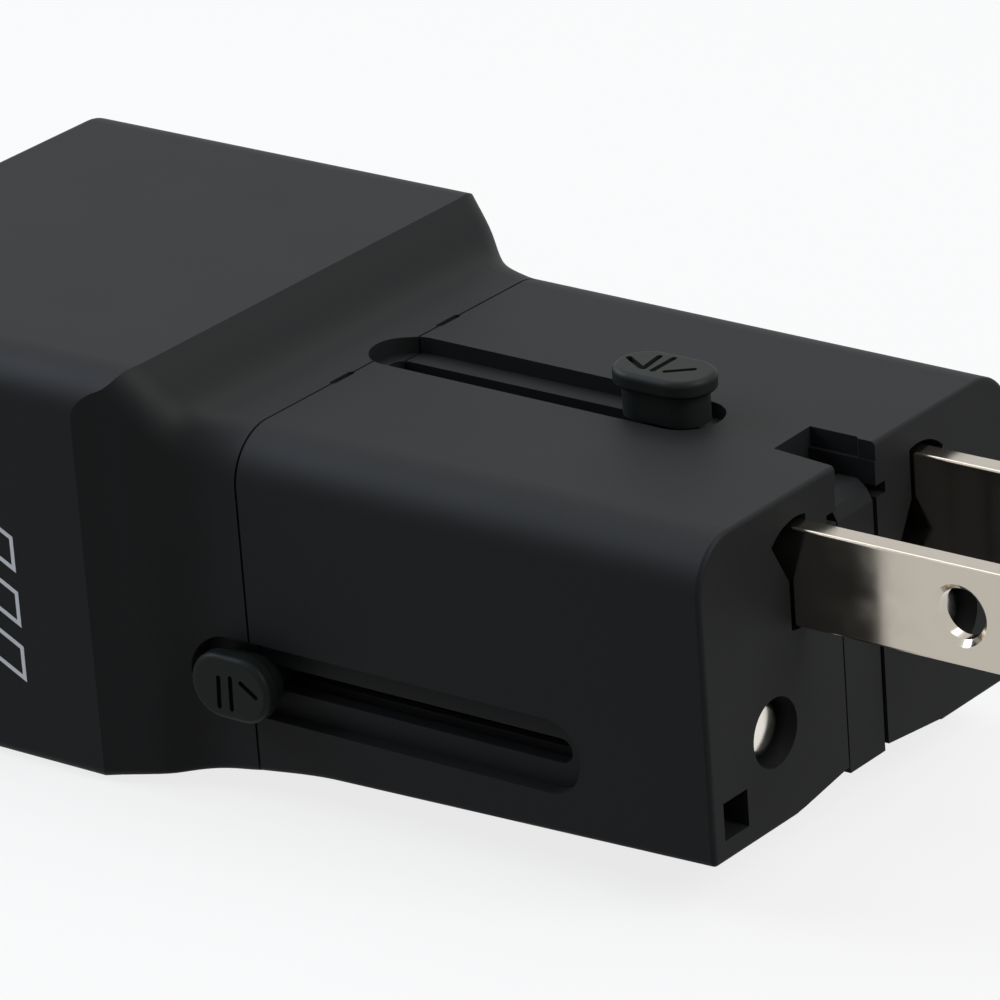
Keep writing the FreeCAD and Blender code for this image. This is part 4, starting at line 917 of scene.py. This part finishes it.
@dataclass
class PressSpring:
    """The coil under the top knob. The real coil shortens as the knob is pressed; this copy keeps
    its length.
    """

    node: str = "us_button_spring"
    joint: str = "us_button_press"
    travel: float = 0.6 * MM
    weld: float = 0.0001 * MM

    def build(self, wardrobe: Wardrobe) -> None:
        """Puts a welded, smooth-shaded copy of the coil in place of the rigid one.

        Args:
            wardrobe: The finishes.
        """
        coil = bmesh.new()
        coil.from_mesh(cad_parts[self.node].data)
        bmesh.ops.remove_doubles(coil, verts=coil.verts, dist=self.weld)
        mesh = bpy.data.meshes.new("top_press_spring")
        coil.to_mesh(mesh)
        coil.free()
        mesh.shade_smooth()
        piece = add_mesh("top_press_spring", mesh)
        wardrobe.dress(piece, SPRING_STEEL)
        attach(piece, "us_carriage")
        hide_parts(self.node)
        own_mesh(piece)
        LOG.info("spring %s", piece.name)


@dataclass
class PrintedChevrons:
    """Generic outlined chevrons, pad-printed in white on the head's left side.

    The corners of the lowest one are X and Z, in turn round the shape. All its sizes are in
    millimetres.
    """

    corners: tuple[tuple[float, float], ...] = (
        (2.2, 5.4), (5.45, 7.0), (8.7, 5.4), (8.7, 7.8), (5.45, 9.4), (2.2, 7.8),
    )
    count: int = 3
    pitch: float = 3.7
    stroke: float = 0.28
    ink: float = 0.02
    sunk: float = 0.01

    def inset(self, distance: float) -> list[Vector]:
        """Moves every side of the shape inwards.

        Args:
            distance: How far, in millimetres.

        Returns:
            The corners of the smaller shape.
        """
        points = [Vector(corner) for corner in self.corners]
        moved = []
        for index, here in enumerate(points):
            before = (here - points[index - 1]).normalized()
            after = (points[(index + 1) % len(points)] - here).normalized()
            inwards = Vector((-before.y, before.x)), Vector((-after.y, after.x))
            middle = (inwards[0] + inwards[1]).normalized()
            moved.append(here + middle * (distance / middle.dot(inwards[0])))
        return moved

    def build(self, wardrobe: Wardrobe) -> None:
        """Lays the closed outlines on the head's side.

        Args:
            wardrobe: The finishes.
        """
        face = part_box("head_shell")[0].y
        levels = (face - self.ink * MM, face + self.sunk * MM)
        rings = (self.inset(0.0), self.inset(self.stroke))
        sides = len(self.corners)
        points = [
            (p.x * MM, y, (p.y + row * self.pitch) * MM)
            for row in range(self.count) for y in levels for ring in rings for p in ring
        ]
        faces = []
        for i in range(self.count * sides):
            row, i = divmod(i, sides)
            j = (i + 1) % sides
            top_out, top_in, low_out, low_in = ((4 * row + k) * sides for k in range(4))
            faces += [
                (top_out + i, top_out + j, top_in + j, top_in + i),
                (low_out + i, low_in + i, low_in + j, low_out + j),
                (top_out + i, low_out + i, low_out + j, top_out + j),
                (top_in + i, top_in + j, low_in + j, low_in + i),
            ]
        mesh = bpy.data.meshes.new("printed_chevrons")
        mesh.from_pydata(points, [], faces)
        piece = add_mesh("printed_chevrons", mesh)
        wardrobe.dress(piece, PRINT_INK)
        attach(piece, "casing")
        LOG.info("print %s", piece.name)


class Charger:
    """The whole charger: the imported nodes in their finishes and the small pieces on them."""

    def __init__(self) -> None:
        """Starts with an empty wardrobe."""
        self.wardrobe = Wardrobe()

    def dress_nodes(self) -> None:
        """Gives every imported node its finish."""
        for finish, names in CAD_FINISHES.items():
            for name in names:
                self.wardrobe.dress(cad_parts[name], finish)
                LOG.info("node %s in %s", name, finish.name)

    def build(self) -> None:
        """Builds everything that belongs to the charger."""
        self.dress_nodes()
        for group in (
            ChargingPorts(), ChokeWinding(), BoardJoints(), PressSpring(), PrintedChevrons(),
        ):
            group.build(self.wardrobe)


def main() -> None:
    """Builds the charger, the studio and the camera."""
    logging.basicConfig(level=logging.INFO, format="%(message)s")
    Charger().build()
    Studio().build(LAMP_TARGET)
    PhotoCamera().build()


if __name__ == "__main__":
    main()
